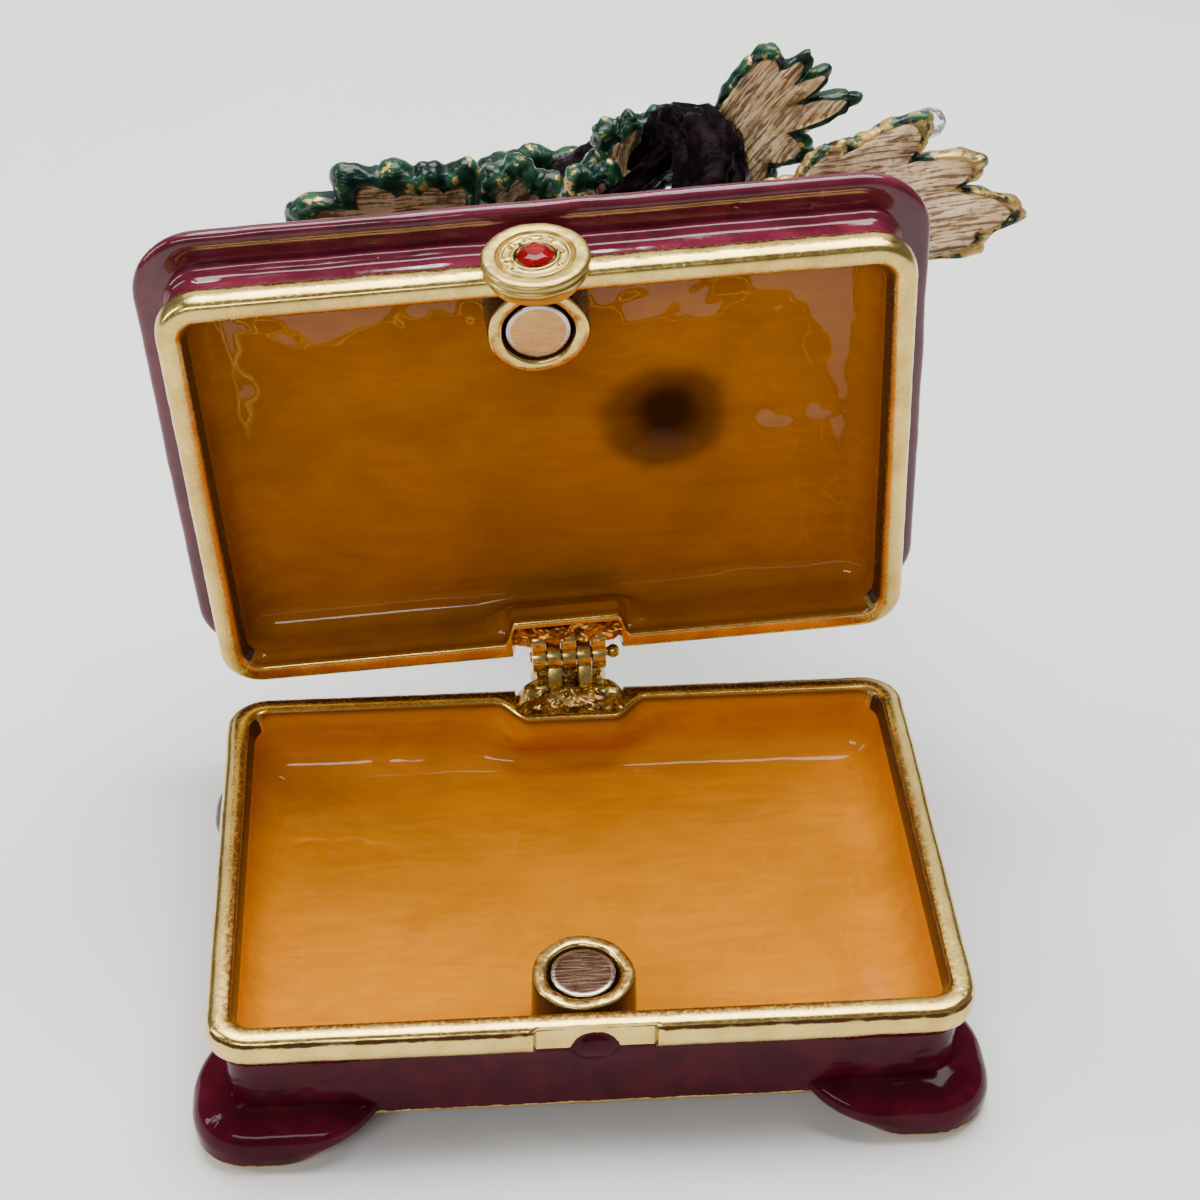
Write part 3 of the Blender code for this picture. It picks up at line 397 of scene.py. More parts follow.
def makeEnamel(name, look, metalLook):
    # burgundy enamel over gold: the gold layer says where the metal is bare, the shade layer where painted
    # shade and painted reflection turn it brown
    finish, tree, shader = newFinish(name)
    place = objectPlace(tree)
    clouds = speckle(tree, place, 260, 4, 0.5, 0.6)
    glaze = blended(tree, ranged(tree, clouds, 0.35, 0.72), look["deep"], look["light"])
    thin = ranged(tree, speckle(tree, place, 1500, 4), 0.70, 0.82, 0.0, 0.4)
    glaze = blended(tree, thin, glaze, look["fired"])
    patches = ranged(tree, speckle(tree, place, 300, 4), 0.35, 0.7)
    metal = blended(tree, patches, metalLook["bright"], metalLook["worn"])
    # noise that breaks up the painted shade and painted reflection of the shade layer
    worn = sums(tree, "MULTIPLY", sums(tree, "SUBTRACT", speckle(tree, place, 800, 4), 0.5), 0.9)
    brown = ranged(tree, sums(tree, "ADD", layer(tree, "shade"), worn), 0.35, 0.65)
    metal = blended(tree, brown, metal, metalLook["spotAndShade"])
    ragged = plusShare(tree, layer(tree, "gold"), speckle(tree, place, 1300, 3), 0.5)
    bare = ranged(tree, ragged, 0.70, 0.78)
    # less metal where the painted shade darkens it
    unshaded = sums(tree, "SUBTRACT", 1.0, sums(tree, "MULTIPLY", brown, 0.75))
    fine = speckle(tree, place, 2400, 3)
    glossy = ranged(tree, fine, 0.3, 0.7, *look["rough"])
    metalRough = ranged(tree, fine, 0.3, 0.7, *metalLook["rough"])
    values = {
        "Base Color": blended(tree, bare, glaze, metal),
        "Metallic": sums(tree, "MULTIPLY", bare, unshaded),
        "Roughness": mixedValue(tree, bare, glossy, metalRough),
        "Specular IOR Level": look["shine"],
        "Coat Weight": 0.03,
        "Coat Roughness": 0.05,
    }
    feed(tree, shader, values)
    ripple = speckle(tree, place, 380, 3, 0.45)
    dents = ranged(tree, speckle(tree, place, 620, 2), 0.66, 0.74, 0.0, -0.5)
    bumpFrom(tree, shader, plusShare(tree, sums(tree, "ADD", ripple, dents), fine, 0.03), 0.22)
    return finish


amberLook = {
    "honey": (0.40, 0.118, 0.0012),
    "brown": (0.13, 0.042, 0.0012),
    "glow": (0.47, 0.155, 0.0020),
    "pit": (0.020, 0.0055, 0.0015),
    "streaks": 330.0,
    "coat": 0.50,
}
# painted light: a lighter copy of the same lacquer for the tray
trayAmberLook = dict(
    amberLook, honey=(0.56, 0.180, 0.0008), glow=(0.66, 0.225, 0.0012), brown=(0.25, 0.085, 0.0008)
)


def makeAmber(name, look, depth=0.0):
    # amber lacquer over brushed metal: streaks and curling brush lines under a clear coat, darker by the
    # depth, a share of painted shade
    finish, tree, shader = newFinish(name)
    place = objectPlace(tree)
    streaks = speckle(tree, place, look["streaks"], 6, 0.62, 1.6, stretch=(0.30, 1.5, 1.5))
    fine = speckle(tree, place, 1500, 5, 0.6, 1.0, stretch=(0.25, 1.6, 1.6))
    pools = speckle(tree, place, 75, 3, 0.5, 0.8)
    colour = blended(tree, ranged(tree, streaks, 0.32, 0.70), look["honey"], look["glow"])
    swirl = sums(tree, "SUBTRACT", speckle(tree, place, 95, 2, 0.4, 2.4, stretch=(0.6, 1.0, 1.0)), 0.5)
    curls = ranged(tree, sums(tree, "ABSOLUTE", swirl, 0.0), 0.0, 0.050, 0.45, 0.0)
    colour = blended(tree, curls, colour, look["glow"])
    dark = sums(tree, "ADD", ranged(tree, pools, 0.35, 0.75, 0.0, 0.30), depth)
    colour = blended(tree, sums(tree, "MINIMUM", dark, 0.92), colour, look["brown"])
    # the pit layer: painted shade in the lid's hollow under the mound, and dark seams along the rim's back
    pit = layer(tree, "pit")
    values = {
        "Base Color": blended(tree, pit, colour, look["pit"]),
        "Specular IOR Level": 0.02,
        "Roughness": ranged(tree, fine, 0.3, 0.7, 0.26, 0.42),
        "Coat Weight": ranged(tree, pit, 0.05, 0.5, look["coat"], 0.08),
        "Coat Roughness": 0.025,
    }
    feed(tree, shader, values)
    bumpFrom(tree, shader, plusShare(tree, streaks, fine, 0.3), 0.12)
    return finish


def makeSilver(name, bright=(0.60, 0.54, 0.49), dull=(0.34, 0.29, 0.26)):
    # nickel plate: soft clouds and fine scratches
    finish, tree, shader = newFinish(name)
    place = objectPlace(tree)
    clouds = ranged(tree, speckle(tree, place, 500, 5, 0.6), 0.35, 0.75)
    scratches = speckle(tree, place, 2600, 4, 0.6, 0.4, stretch=(0.2, 2.2, 2.2))
    values = {
        "Base Color": blended(tree, clouds, bright, dull),
        "Metallic": 1.0,
        "Roughness": ranged(tree, scratches, 0.3, 0.75, 0.14, 0.30),
    }
    feed(tree, shader, values)
    bumpFrom(tree, shader, scratches, 0.10, 0.00004)
    return finish


goldFinish = makeGold("rimGold", goldLook)
satinFinish = makeGold("satinGold", satinLook, 0.10)
solderFinish = makeGold("roughSolder", solderLook, 0.5, 1500, 0.28)
sheetFinish = makeGold("orangeSolder", sheetLook, 0.5, 1500, 0.3)
wallFinish = makeEnamel("burgundyEnamel", enamelLook, goldLook)
lidWallFinish = makeEnamel("litBurgundyEnamel", litEnamelLook, goldLook)
trayAmber = makeAmber("honeyLacquer", trayAmberLook)
# painted shade: the lid's copy of the lacquer, darkened by a share of 0.30
lidAmber = makeAmber("darkHoneyLacquer", amberLook, 0.30)
nickelFinish = makeSilver("nickelPlate")
trayNickel = makeSilver("warmNickel", (0.30, 0.20, 0.14), (0.20, 0.13, 0.09))
lidNickel = makeSilver("paleBrownNickel", (0.52, 0.285, 0.11), (0.43, 0.225, 0.08))
print("gold, enamel, lacquer and nickel mixed")


# tray

trayForm = {
    "steps": (134, 92, 12),  # along the long and short sides and round each corner
    "rings": (13, 30),  # under the tray and on its floor
    "ringStep": 0.20,
    "floor": 1.7,
    "fillet": 3.0,
    "seatHalf": 4.7,  # flat behind the medallion
    "seatDepth": 0.5,
    "seatFoot": 5.6,
    "nubRadius": 1.9,
    "nubFront": 0.08,
    "notchHalf": 4.6,  # hinge leaf let into the rim
    "notchReach": 3.7,
    "notchDrop": 1.9,
    "boss": 2.55,  # enamelled swell that carries the rim round the hinge leaf
    "ripple": 0.05,
    "profile": (
        # inset, height, gold, corner
        (2.6, 0.0, 0.4, 3.6), (2.45, -0.25, 0.5, 3.6), (2.2, -1.3, 1.0, 3.6), (1.9, -1.42, 1.0, 3.6),
        (1.25, -1.42, 1.0, 3.6), (1.02, -1.15, 0.75, 3.6), (1.1, -0.6, 0.0, 3.6), (1.22, 2.1, 0.0, 3.6),
        (1.05, 4.9, 0.0, 3.6), (0.75, 5.45, 0.1, 3.6), (0.5, 5.62, 0.8, 3.6), (0.12, 5.9, 1.0, 3.6),
        (-0.02, 6.5, 1.0, 3.6), (0.0, 7.4, 1.0, 3.6), (0.16, 7.95, 1.0, 3.6), (0.45, 8.22, 1.0, 3.6),
        (0.9, 8.3, 1.0, 3.6), (1.5, 8.3, 1.0, 3.6), (1.9, 8.22, 1.0, 3.8), (2.12, 7.85, 1.0, 4.1),
        (2.3, 7.1, 1.0, 4.3), (2.4, 6.6, 1.0, 4.4),
    ),
}


def centreRings(halfX, halfY, radius, z, count):
    # the rounded rectangle shrunk to its middle in even steps
    share = np.linspace(1, 0, count)
    share[-1] = 0.0001
    return np.stack([halfX * share, halfY * share, radius * share, np.full(count, z)], axis=1)


def profileSizes(line, least=0.8):
    # half sizes and corner radius of each ring of a profile of inset, height and corner
    halfX = box["halfX"] - line[:, 0]
    halfY = box["halfY"] - line[:, 0]
    return np.stack([halfX, halfY, np.maximum(line[:, 3] - line[:, 0], least), line[:, 1]], axis=1)


def finerTop(line, first, count):
    # the same line with closer points where the rim is drawn out round the hinge
    return np.concatenate([line[:first], evenLine(line[first : first + count], 0.04), line[first + count :]])


def filletLine(radius, level, direction):
    # the quarter circle from the wall to the floor or the ceiling: radius * (1 - cos) inwards and
    # radius * (1 - sin) away from the level
    turn = np.linspace(0, 0.5 * np.pi, box["filletSteps"] + 1)[1:]
    inset = box["inner"] + radius * (1 - np.cos(turn))
    height = level + direction * radius * (1 - np.sin(turn))
    return np.stack([inset, height, 0 * turn, 0 * turn + box["innerCorner"]], axis=1)


def notchShare(form, x, y):
    # 1 in the notch for the hinge's leaf, falling to 0 beside it and in front of it
    front = box["halfY"] - form["notchReach"]
    width = hingeWindow(x, form["notchHalf"] - 0.12, form["notchHalf"] + 0.12)
    return width * smoothStep(front - 0.15, front + 0.05, y)


def pushedOut(points, way, push):
    # moves points outwards along the way round by the push
    outward = np.stack([np.cos(way[2]), np.sin(way[2])], axis=-1)[:, None, :]
    points[..., :2] += outward * push[..., None]


def makeTray(form):
    # a profile carried round the box: apron, wall, band, rim and fillet, then rings to the floor's middle
    way = aroundBox(*form["steps"])
    backward = np.sin(way[2])[:, None]
    apron, floorRings = form["rings"]
    outer = evenLine(roundedLine(form["profile"], 2), form["ringStep"])
    crest = int(np.argmax(outer[:, 1]))
    outer = finerTop(outer, crest, 5)
    innerFoot = np.array([[box["inner"], 5.8, 0, box["innerCorner"]]])
    fillet = np.concatenate([innerFoot, filletLine(form["fillet"], form["floor"], 1)])
    wallLine = profileSizes(np.concatenate([outer, fillet]))
    floorLine = centreRings(*wallLine[-1, :3], form["floor"], floorRings)[1:]
    under = centreRings(box["halfX"] - 2.6, box["halfY"] - 2.6, 1.0, 0.0, apron + 1)[::-1]
    sizes = np.concatenate([under[:-1], wallLine, floorLine])
    points = carriedRound(way, *sizes.T)
    goldness = np.concatenate([np.full(apron, 0.4), outer[:, 2], np.zeros(len(fillet) + len(floorLine))])
    gold = np.broadcast_to(goldness, points.shape[:2]).copy()
    x, y, z = points[..., 0].copy(), points[..., 1].copy(), points[..., 2].copy()
    level = np.arange(len(sizes))
    rimTop = apron + crest
    outside = (level >= apron) & (level < rimTop)
    front = outside & (y < -box["halfY"] + 1.6)
    # the medallion's seat: the band pushed back to a flat, with the round nub standing on its lower edge
    seat = smoothStep(form["seatHalf"] + 0.15, form["seatHalf"] - 0.15, np.abs(x)) * front
    seat = seat * smoothStep(form["seatFoot"] - 0.1, form["seatFoot"] + 0.25, z)
    flatY = -box["halfY"] + form["seatDepth"]
    points[..., 1] = np.where(front, y + np.maximum(flatY - y, 0) * seat, y)
    away = (x**2 + (z - form["seatFoot"] + 0.1) ** 2) / form["nubRadius"] ** 2
    dome = smoothStep(0.0, 0.6, 1 - away) * front * smoothStep(3.3, 5.6, z)
    points[..., 1] += np.minimum(-box["halfY"] + form["nubFront"] + 0.22 * away - points[..., 1], 0) * dome
    low = (np.abs(x) < form["seatHalf"]) & (z < form["seatFoot"] + 0.35) & (z > 3.0)
    gold = np.where(front, gold * smoothStep(0.80, 1.36, away), gold)
    gold = np.where(front & low, 0.0, gold)
    # the swell behind the hinge: the inner wall pushed forward, less towards the floor, then the notch cut
    inside = (level >= rimTop) & (y > 10)
    inset = box["halfY"] - sizes[:, 1]
    high = smoothStep(5.6, 7.2, z)
    window = hingeWindow(x, 3.7, 6.7) * high + hingeWindow(x, 3.4, 8.4) * (1 - high)
    swell = window * smoothStep(0.9, 1.5, inset) * smoothStep(2.0, 6.2, z) * inside
    points[..., 1] -= form["boss"] * swell
    y = points[..., 1].copy()
    notchDepth = np.clip(z - (box["rimZ"] - form["notchDrop"]), 0, None)
    points[..., 2] -= notchShare(form, x, y) * (z > 5.0) * notchDepth
    # cast unevenness: slow waves on the walls and finer ones on the metal
    wave = roughNoise(points, 3.2, 5)
    fine = roughNoise(points, 0.7, 9, 2)
    pushedOut(points, way, form["ripple"] * (wave + 0.35 * fine) * outside)
    inner = (level > apron + len(outer)) & (z < 6)
    points[..., 2] += np.where(inner, 0.05 * wave, 0)
    zone = np.zeros(len(sizes) - 1, int)
    zone[apron - 1 + len(outer) :] = 1
    zone = np.broadcast_to(zone, (len(x), len(zone))).copy()
    soft = (backward > 0.8) & (inset > 1.92) & (level >= rimTop)
    zone[soft[:, :-1]] = 1
    # painted shade and painted reflection in brown: where the rim slopes in, on its back, and in a broken
    # line under its front edge, thin at the seat
    shade = smoothStep(1.88, 2.12, inset) * (level > rimTop) * smoothStep(6.3, 6.8, sizes[:, 3])
    shade = np.maximum(shade, 0.50 * smoothStep(0.95, 0.55, inset) * (y > 17) * (level > rimTop - 7))
    shade = shade * smoothStep(0.86, 0.55, backward * (inset > 1.7))
    thin = 0.07 + 0.15 * smoothStep(form["seatHalf"], form["seatHalf"] + 0.8, np.abs(x))
    line = 0.85 * np.exp(-(((z - 7.86 - 0.05 * wave) / thin) ** 2)) * outside * (y < -box["halfY"] + 2)
    seam = 0.75 * np.exp(-(((inset - 2.06) / 0.10) ** 2)) * soft
    return [grid(points, zone, gold=gold, pit=seam, shade=np.maximum(shade, line))]


footForm = {
    "steps": (20, 15, 9),
    "length": 13.5,
    "width": 10.0,
    "top": 0.6,
    "sole": -4.3,
    "stations": (
        # share of the height, reach past the rim, share of the length, share of the width, gold
        (1.00, -1.6, 0.74, 0.74, 0.0), (0.97, -1.2, 1.00, 1.00, 0.0), (0.86, 0.1, 1.02, 1.02, 0.0),
        (0.70, 1.35, 1.00, 1.00, 0.0), (0.50, 1.78, 0.94, 0.95, 0.0), (0.34, 1.83, 0.84, 0.89, 0.0),
        (0.22, 1.76, 0.77, 0.85, 0.2), (0.12, 1.66, 0.72, 0.82, 0.6), (0.05, 1.35, 0.69, 0.79, 1.0),
        (0.00, 0.76, 0.66, 0.76, 1.0),
    ),
}


def makeFoot(form, sideX, sideY):
    # rounded rectangles of growing reach from the wall to the bulge and in again to the sole, shrunk shut
    way = aroundBox(*form["steps"])
    line = roundedLine(form["stations"], 2)
    high = form["sole"] + (form["top"] - form["sole"]) * line[:, 0]
    outerX = box["halfX"] + line[:, 1]
    innerX = box["halfX"] - form["length"] * line[:, 2]
    outerY = box["halfY"] + line[:, 1]
    innerY = box["halfY"] - form["width"] * line[:, 3]
    radius = box["corner"] + np.maximum(line[:, 1], 0) - 0.4
    halfX, halfY = (outerX - innerX) / 2, (outerY - innerY) / 2
    radius = np.minimum(radius, np.minimum(halfX, halfY) * 0.95)
    middleX, middleY = (outerX + innerX) / 2, (outerY + innerY) / 2
    sizes = np.stack([halfX, halfY, radius, high, middleX, middleY, line[:, 4]], axis=1)
    shrink = np.ones((4, 7))
    shrink[:, :3] = np.array([1.0, 0.6, 0.25, 0.001])[:, None]
    sizes = np.concatenate([(sizes[:1] * shrink)[::-1][:-1], sizes, (sizes[-1:] * shrink)[1:]])
    *rings, gold = sizes.T
    points = carriedRound(way, *rings) * np.array([sideX, sideY, 1.0])
    level = np.arange(len(sizes))
    sides = (level > 3) & (level < len(sizes) - 6)
    points[..., :2] *= 1 + 0.0025 * roughNoise(points, 3.0, 21)[..., None] * sides[:, None]
    return grid(points, 0, gold=gold)


socketForm = {
    "tray": (-0.6, -14.5, 1.2, 8.2),  # middle, foot and top
    "lid": (-0.2, -15.2, 14.0, 8.55),
    "inner": 2.85,
    "outer": 4.1,
    "deep": 2.4,
}


def makeSocket(form, name, direction):
    # a ring turned about an upright line: up the outside, over the rounded top and down the bore to its floor
    x, y, foot, top = form[name]
    top = (top - foot) * direction
    inner, outer, bore = form["inner"], form["outer"], top - form["deep"]
    line = [
        (0.001, 0.0), (outer + 0.25, 0.0), (outer + 0.12, 0.8), (outer, top - 0.6),
        (outer - 0.08, top - 0.15), (outer - 0.3, top), (inner + 0.35, top), (inner + 0.1, top - 0.12),
        (inner, top - 0.5), (inner, bore), (0.001, bore),
    ]
    line = roundedLine(line, 2)
    points = turned(line, (x, y, foot), (0, 0, direction), 72, 0.012)
    reach = np.hypot(points[..., 0] - x, points[..., 1] - y)
    points[..., 2] += 0.035 * roughNoise(points, 0.8, 31) * (reach > inner)
    rim = np.abs(line[:, 1] - top) < 0.2
    # painted shade and painted reflection: brown down the ring's sides and bore, little on its top
    shade = np.where(rim, 0.1 + 0.32 * (name == "tray") * (line[:, 0] > inner + 0.4), 0.75)
    return grid(points, 0, gold=1.0, shade=shade)


magnetForm = {
    "radius": 2.6,
    "height": 2.0,
    "tray": (-0.6, -14.5, 8.05, -1),  # middle, face, and the way from the face to the back
    "lid": (-0.2, -15.2, 8.7, 1),
}


def makeMagnet(form, name):
    # a disc turned about an upright line, with a rounded edge and a face that dishes by a hair
    x, y, face, direction = form[name]
    r, h = form["radius"], form["height"]
    dish = [(0.001, 0.02), (r * 0.6, 0.01), (r - 0.24, 0.0), (r - 0.06, 0.04)]
    line = roundedLine(dish + [(r, 0.2), (r, h * 0.6), (r, h), (0.001, h)], 2)
    edge = (line[1:, 0] > r - 0.3).astype(int)
    return grid(turned(line, (x, y, face), (0, 0, direction), 64), edge)


trayPieces = makeTray(trayForm)
for sideX in (-1, 1):
    for sideY in (-1, 1):
        trayPieces.append(makeFoot(footForm, sideX, sideY))
trayPieces.append(makeSocket(socketForm, "tray", 1))
makePiece("trayShell", trayPieces, [wallFinish, trayAmber], "tray_body", "tray")
trayMagnet = [makeMagnet(magnetForm, "tray")]
makePiece("trayMagnet", trayMagnet, [trayNickel, nickelFinish], "tray_body", "tray_magnet")


# lid, worked out shut and then turned open

lidForm = {
    "steps": (120, 82, 11),  # along the long and short sides and round each corner
    "rings": (44, 30),  # on the ceiling and on the soil
    "ringStep": 0.17,
    "ceiling": 13.45,
    "fillet": 2.2,
    "mound": (10.0, -1.5),
    "moundRadius": 6.6,
    "moundHeight": 2.2,
    "dimpleRadius": 4.9,
    "dimpleDepth": 0.75,
    "pits": ((19.5, -0.6, 2.0, 0.35), (23.3, -0.7, 1.3, 0.25)),
    "stones": ((19.5, -0.6, 1.9, 1.15), (23.3, -0.7, 1.3, 0.8)),
    "notchHalf": 4.6,
    "notchReach": 3.7,
    "notchRise": 2.4,
    "boss": 2.55,
    "ripple": 0.06,
    "soil": 15.55,
    "profile": (
        # inset, height, gold, corner
        (2.4, 9.85, 1.0, 4.4), (2.1, 8.95, 1.0, 3.9), (1.85, 8.55, 1.0, 3.6), (1.6, 8.45, 1.0, 3.6),
        (0.7, 8.45, 1.0, 3.6), (0.28, 8.62, 1.0, 3.6), (0.05, 9.1, 1.0, 3.6), (-0.02, 9.8, 1.0, 3.6),
        (0.06, 10.5, 1.0, 3.6), (0.34, 10.95, 1.0, 3.6), (0.8, 11.15, 1.0, 3.6), (0.98, 11.45, 0.3, 3.6),
        (1.02, 12.0, 0.0, 3.6), (0.98, 12.9, 0.0, 3.6), (0.92, 13.3, 0.0, 3.6), (0.55, 13.55, 0.0, 3.6),
        (0.42, 13.9, 0.0, 3.6), (0.62, 14.25, 0.0, 3.6), (0.72, 14.4, 0.0, 3.6), (0.1, 14.5, 0.0, 3.6),
        (-1.3, 14.56, 0.0, 3.6), (-1.9, 14.8, 0.0, 3.6), (-2.02, 15.3, 0.0, 3.6), (-1.9, 15.8, 0.0, 3.6),
        (-1.4, 16.12, 0.0, 3.6), (-0.7, 16.1, 0.0, 3.6), (0.1, 15.85, 0.0, 3.6), (0.9, 15.6, 0.0, 3.6),
        (2.4, 15.55, 0.0, 3.6),
    ),
}


def makeLid(form):
    # rings from the ceiling's middle down the inside, round the rim and band, up the wall and lip, and over
    # the soil
    way = aroundBox(*form["steps"])
    backward = np.sin(way[2])[:, None]
    ceilingRings, soilRings = form["rings"]
    fillet = filletLine(form["fillet"], form["ceiling"], -1)[::-1]
    outer = evenLine(roundedLine(form["profile"], 2), form["ringStep"])
    foot = int(np.argmax(outer[:, 0] < 1.62))
    outer = finerTop(outer, foot, 6)
    wallLine = profileSizes(np.concatenate([fillet, outer]))
    ceiling = centreRings(*wallLine[0, :3], form["ceiling"], ceilingRings)[::-1][:-1]
    soil = centreRings(*wallLine[-1], soilRings)[1:]
    sizes = np.concatenate([ceiling, wallLine, soil])
    rimStart = len(ceiling) + len(fillet)
    rimFoot = rimStart + foot
    soilStart = len(ceiling) + len(wallLine)
    goldness = np.concatenate([np.zeros(rimStart), outer[:, 2], np.zeros(len(soil))])
    points = carriedRound(way, *sizes.T)
    level = np.arange(len(sizes))
    onCeiling = level < len(ceiling) + 3
    onSoil = level >= soilStart - 2
    outside = ~onCeiling & ~onSoil & (sizes[:, 3] > 9.0) & (level > rimStart + 3)
    x, y, z = points[..., 0].copy(), points[..., 1].copy(), points[..., 2].copy()
    flat = np.array([1, 1, 0])
    # the hollow under the mound, pulled a little out of round, with the two small ones beside it
    mx, my = form["mound"]
    bent = roughNoise(points * flat, 4.0, 51)
    away = np.hypot(x - mx - 0.2, (y - my) * 0.92) * (1 + 0.10 * bent) / form["dimpleRadius"]
    bowl = np.clip(1 - away**2, 0, 1) ** 1.5
    rimSwell = 0.07 * np.exp(-(((away - 1.12) / 0.2) ** 2))
    points[..., 2] += onCeiling * (form["dimpleDepth"] * bowl - rimSwell)
    for px, py, radius, depth in form["pits"]:
        near = np.clip(1 - ((x - px) ** 2 + ((y - py) * 1.25) ** 2) / radius**2, 0, 1)
        points[..., 2] += onCeiling * depth * near**1.5
    points[..., 2] += onCeiling * 0.07 * roughNoise(points * flat, 5.5, 61, 3)
    # painted shade in the hollow under the mound, darkest at its middle
    lobes = 1 + 0.05 * np.cos(4 * np.arctan2(y - my, x - mx) + 0.9)
    blot = away * lobes + 0.07 * roughNoise(points, 3.0, 57, 2)
    pit = onCeiling * (0.58 * smoothStep(1.30, 0.82, blot) + 0.40 * smoothStep(0.85, 0.25, blot))
    # soil: the mound and a pebbled surface, level near the lip
    fromMound = np.hypot(x - mx, y - my) / form["moundRadius"]
    rise = form["moundHeight"] * smoothStep(1.28, 0.86, fromMound)
    grit = 0.20 * roughNoise(points * flat, 3.2, 71, 2) * (rise < form["moundHeight"] * 0.98)
    edgeFade = smoothStep(box["halfX"] - 1.2, box["halfX"] - 3.4, np.abs(x))
    edgeFade = edgeFade * smoothStep(box["halfY"] - 1.2, box["halfY"] - 3.4, np.abs(y))
    points[..., 2] += onSoil * (rise + (grit - 0.10) * edgeFade)
    # the swell that carries the rim round the hinge leaf, then the notch cut up into the band
    inside = (level < rimFoot + 36) & (sizes[:, 1] < box["halfY"] - 0.85) & (y > 10)
    inset = box["halfY"] - sizes[:, 1]
    low = smoothStep(10.9, 9.4, z)
    window = hingeWindow(x, 4.55, 5.5) * low + hingeWindow(x, 3.8, 7.8) * (1 - low)
    swell = window * smoothStep(0.9, 1.5, inset) * smoothStep(13.1, 10.6, z) * inside
    points[..., 1] -= form["boss"] * swell
    y = points[..., 1].copy()
    inNotch = notchShare(form, x, y)
    notchTop = box["lidZ"] + form["notchRise"]
    points[..., 2] += inNotch * np.clip(notchTop - z, 0, None) * ~onSoil
    # pooled enamel: long waves on the wall and the lip
    wave = roughNoise(points, 3.4, 81)
    long = noise(points * np.array([0.35, 0.35, 2.4]), 1.5, 83)
    push = form["ripple"] * (wave * 0.8 + long * 0.8) * (outside & (sizes[:, 3] > 11.4))
    push = push + 0.03 * roughNoise(points, 0.8, 85, 2) * (outside & (sizes[:, 3] <= 11.4))
    pushedOut(points, way, push)
    zone = np.zeros(len(sizes) - 1, int)
    zone[:rimStart] = 1
    zone[soilStart - 6 :] = 2
    zone = np.broadcast_to(zone, (len(x), len(zone))).copy()
    soft = (backward > 0.8) & (inset > 1.9) & (level < rimFoot)
    zone[soft[:, :-1]] = 1
    # painted shade and painted reflection in brown: where the rim slopes in to the lacquer, in the notch
    # behind the hinge leaf, and in a thin broken line along the band
    innerRim = (level >= rimStart) & (level < rimFoot)
    shade = smoothStep(1.85, 2.1, inset) * innerRim * smoothStep(0.86, 0.55, backward)
    shade = np.maximum(shade, (inNotch > 0.5) * smoothStep(18.2, 17.6, y) * (z < notchTop + 0.2))
    uneven = 0.72 + 0.30 * noise(points * np.array([0.25, 0.25, 1.0]), 1.6, 87)
    line = uneven * np.exp(-(((z - 8.68 - 0.04 * wave) / 0.15) ** 2)) * (outside & (inset < 0.8))
    pit = np.maximum(pit, 0.45 * np.exp(-(((inset - 2.06) / 0.10) ** 2)) * soft)
    moss = onSoil * smoothStep(1.5, 0.8, fromMound)
    return grid(points, zone, gold=goldness, pit=pit, moss=moss, shade=np.maximum(shade, line))


def makeStone(x, y, radius, height, base, seed):
    # a flattened ball: circles of latitude from top to bottom, roughened along its own directions
    around = np.linspace(0, 2 * np.pi, 28, endpoint=False)[:, None]
    down = np.linspace(0.0001, np.pi, 16)[None, :]
    unit = [np.sin(down) * np.cos(around), np.sin(down) * np.sin(around), np.cos(down) + 0 * around]
    unit = np.stack(unit, axis=-1)
    size = np.array([radius, radius * 0.85, height]) * (1 + 0.14 * roughNoise(unit * 2, 1.0, seed)[..., None])
    return grid(np.array([x, y, base]) + unit * size, 2, moss=0.15)


def opened(surfaces):
    # the same surfaces with the lid turned open
    for surface in surfaces:
        surface["points"] = openOut(surface["points"])
    return surfaces


soilLook = {
    "earth": ((0.045, 0.022, 0.014), (0.12, 0.06, 0.03)),
    "moss": ((0.004, 0.020, 0.009), (0.026, 0.090, 0.034)),
    "tips": (0.42, 0.30, 0.14),
}


def makeSoil(name, look):
    # dark glazed earth with moss: brown and green patches by noise and by the moss layer, with golden tips
    finish, tree, shader = newFinish(name)
    place = objectPlace(tree)
    patches = ranged(tree, speckle(tree, place, 420, 5), 0.35, 0.7)
    tufts = ranged(tree, speckle(tree, place, 950, 4, 0.6), 0.36, 0.64)
    moss = ranged(tree, plusShare(tree, layer(tree, "moss"), speckle(tree, place, 700, 4), 0.8), 0.62, 0.95)
    colour = blended(tree, moss, blended(tree, patches, *look["earth"]), blended(tree, tufts, *look["moss"]))
    tips = ranged(tree, speckle(tree, place, 1700, 5, 0.7), 0.64, 0.75)
    grains = speckle(tree, place, 620, 3, 0.5)
    values = {
        "Base Color": blended(tree, tips, colour, look["tips"]),
        "Metallic": tips,
        "Specular IOR Level": 0.3,
        "Roughness": ranged(tree, grains, 0.3, 0.7, 0.55, 0.30),
    }
    feed(tree, shader, values)
    bumpFrom(tree, shader, plusShare(tree, speckle(tree, place, 1900, 4), grains, 2.5), 0.5, 0.0002)
    return finish


soilFinish = makeSoil("glazedSoil", soilLook)
lidPieces = [makeLid(lidForm)]
for number, (x, y, radius, height) in enumerate(lidForm["stones"]):
    lidPieces.append(makeStone(x, y, radius, height, lidForm["soil"] + radius * 0.15, 91 + number))
lidPieces.append(makeSocket(socketForm, "lid", -1))
makePiece("lidShell", opened(lidPieces), [lidWallFinish, lidAmber, soilFinish], "lid_body", "lid")
lidMagnet = opened([makeMagnet(magnetForm, "lid")])
makePiece("lidMagnet", lidMagnet, [lidNickel, nickelFinish], "lid_body", "lid_magnet")


# bonsai, laid out in millimetres from the middle of the root mound, with the lid shut

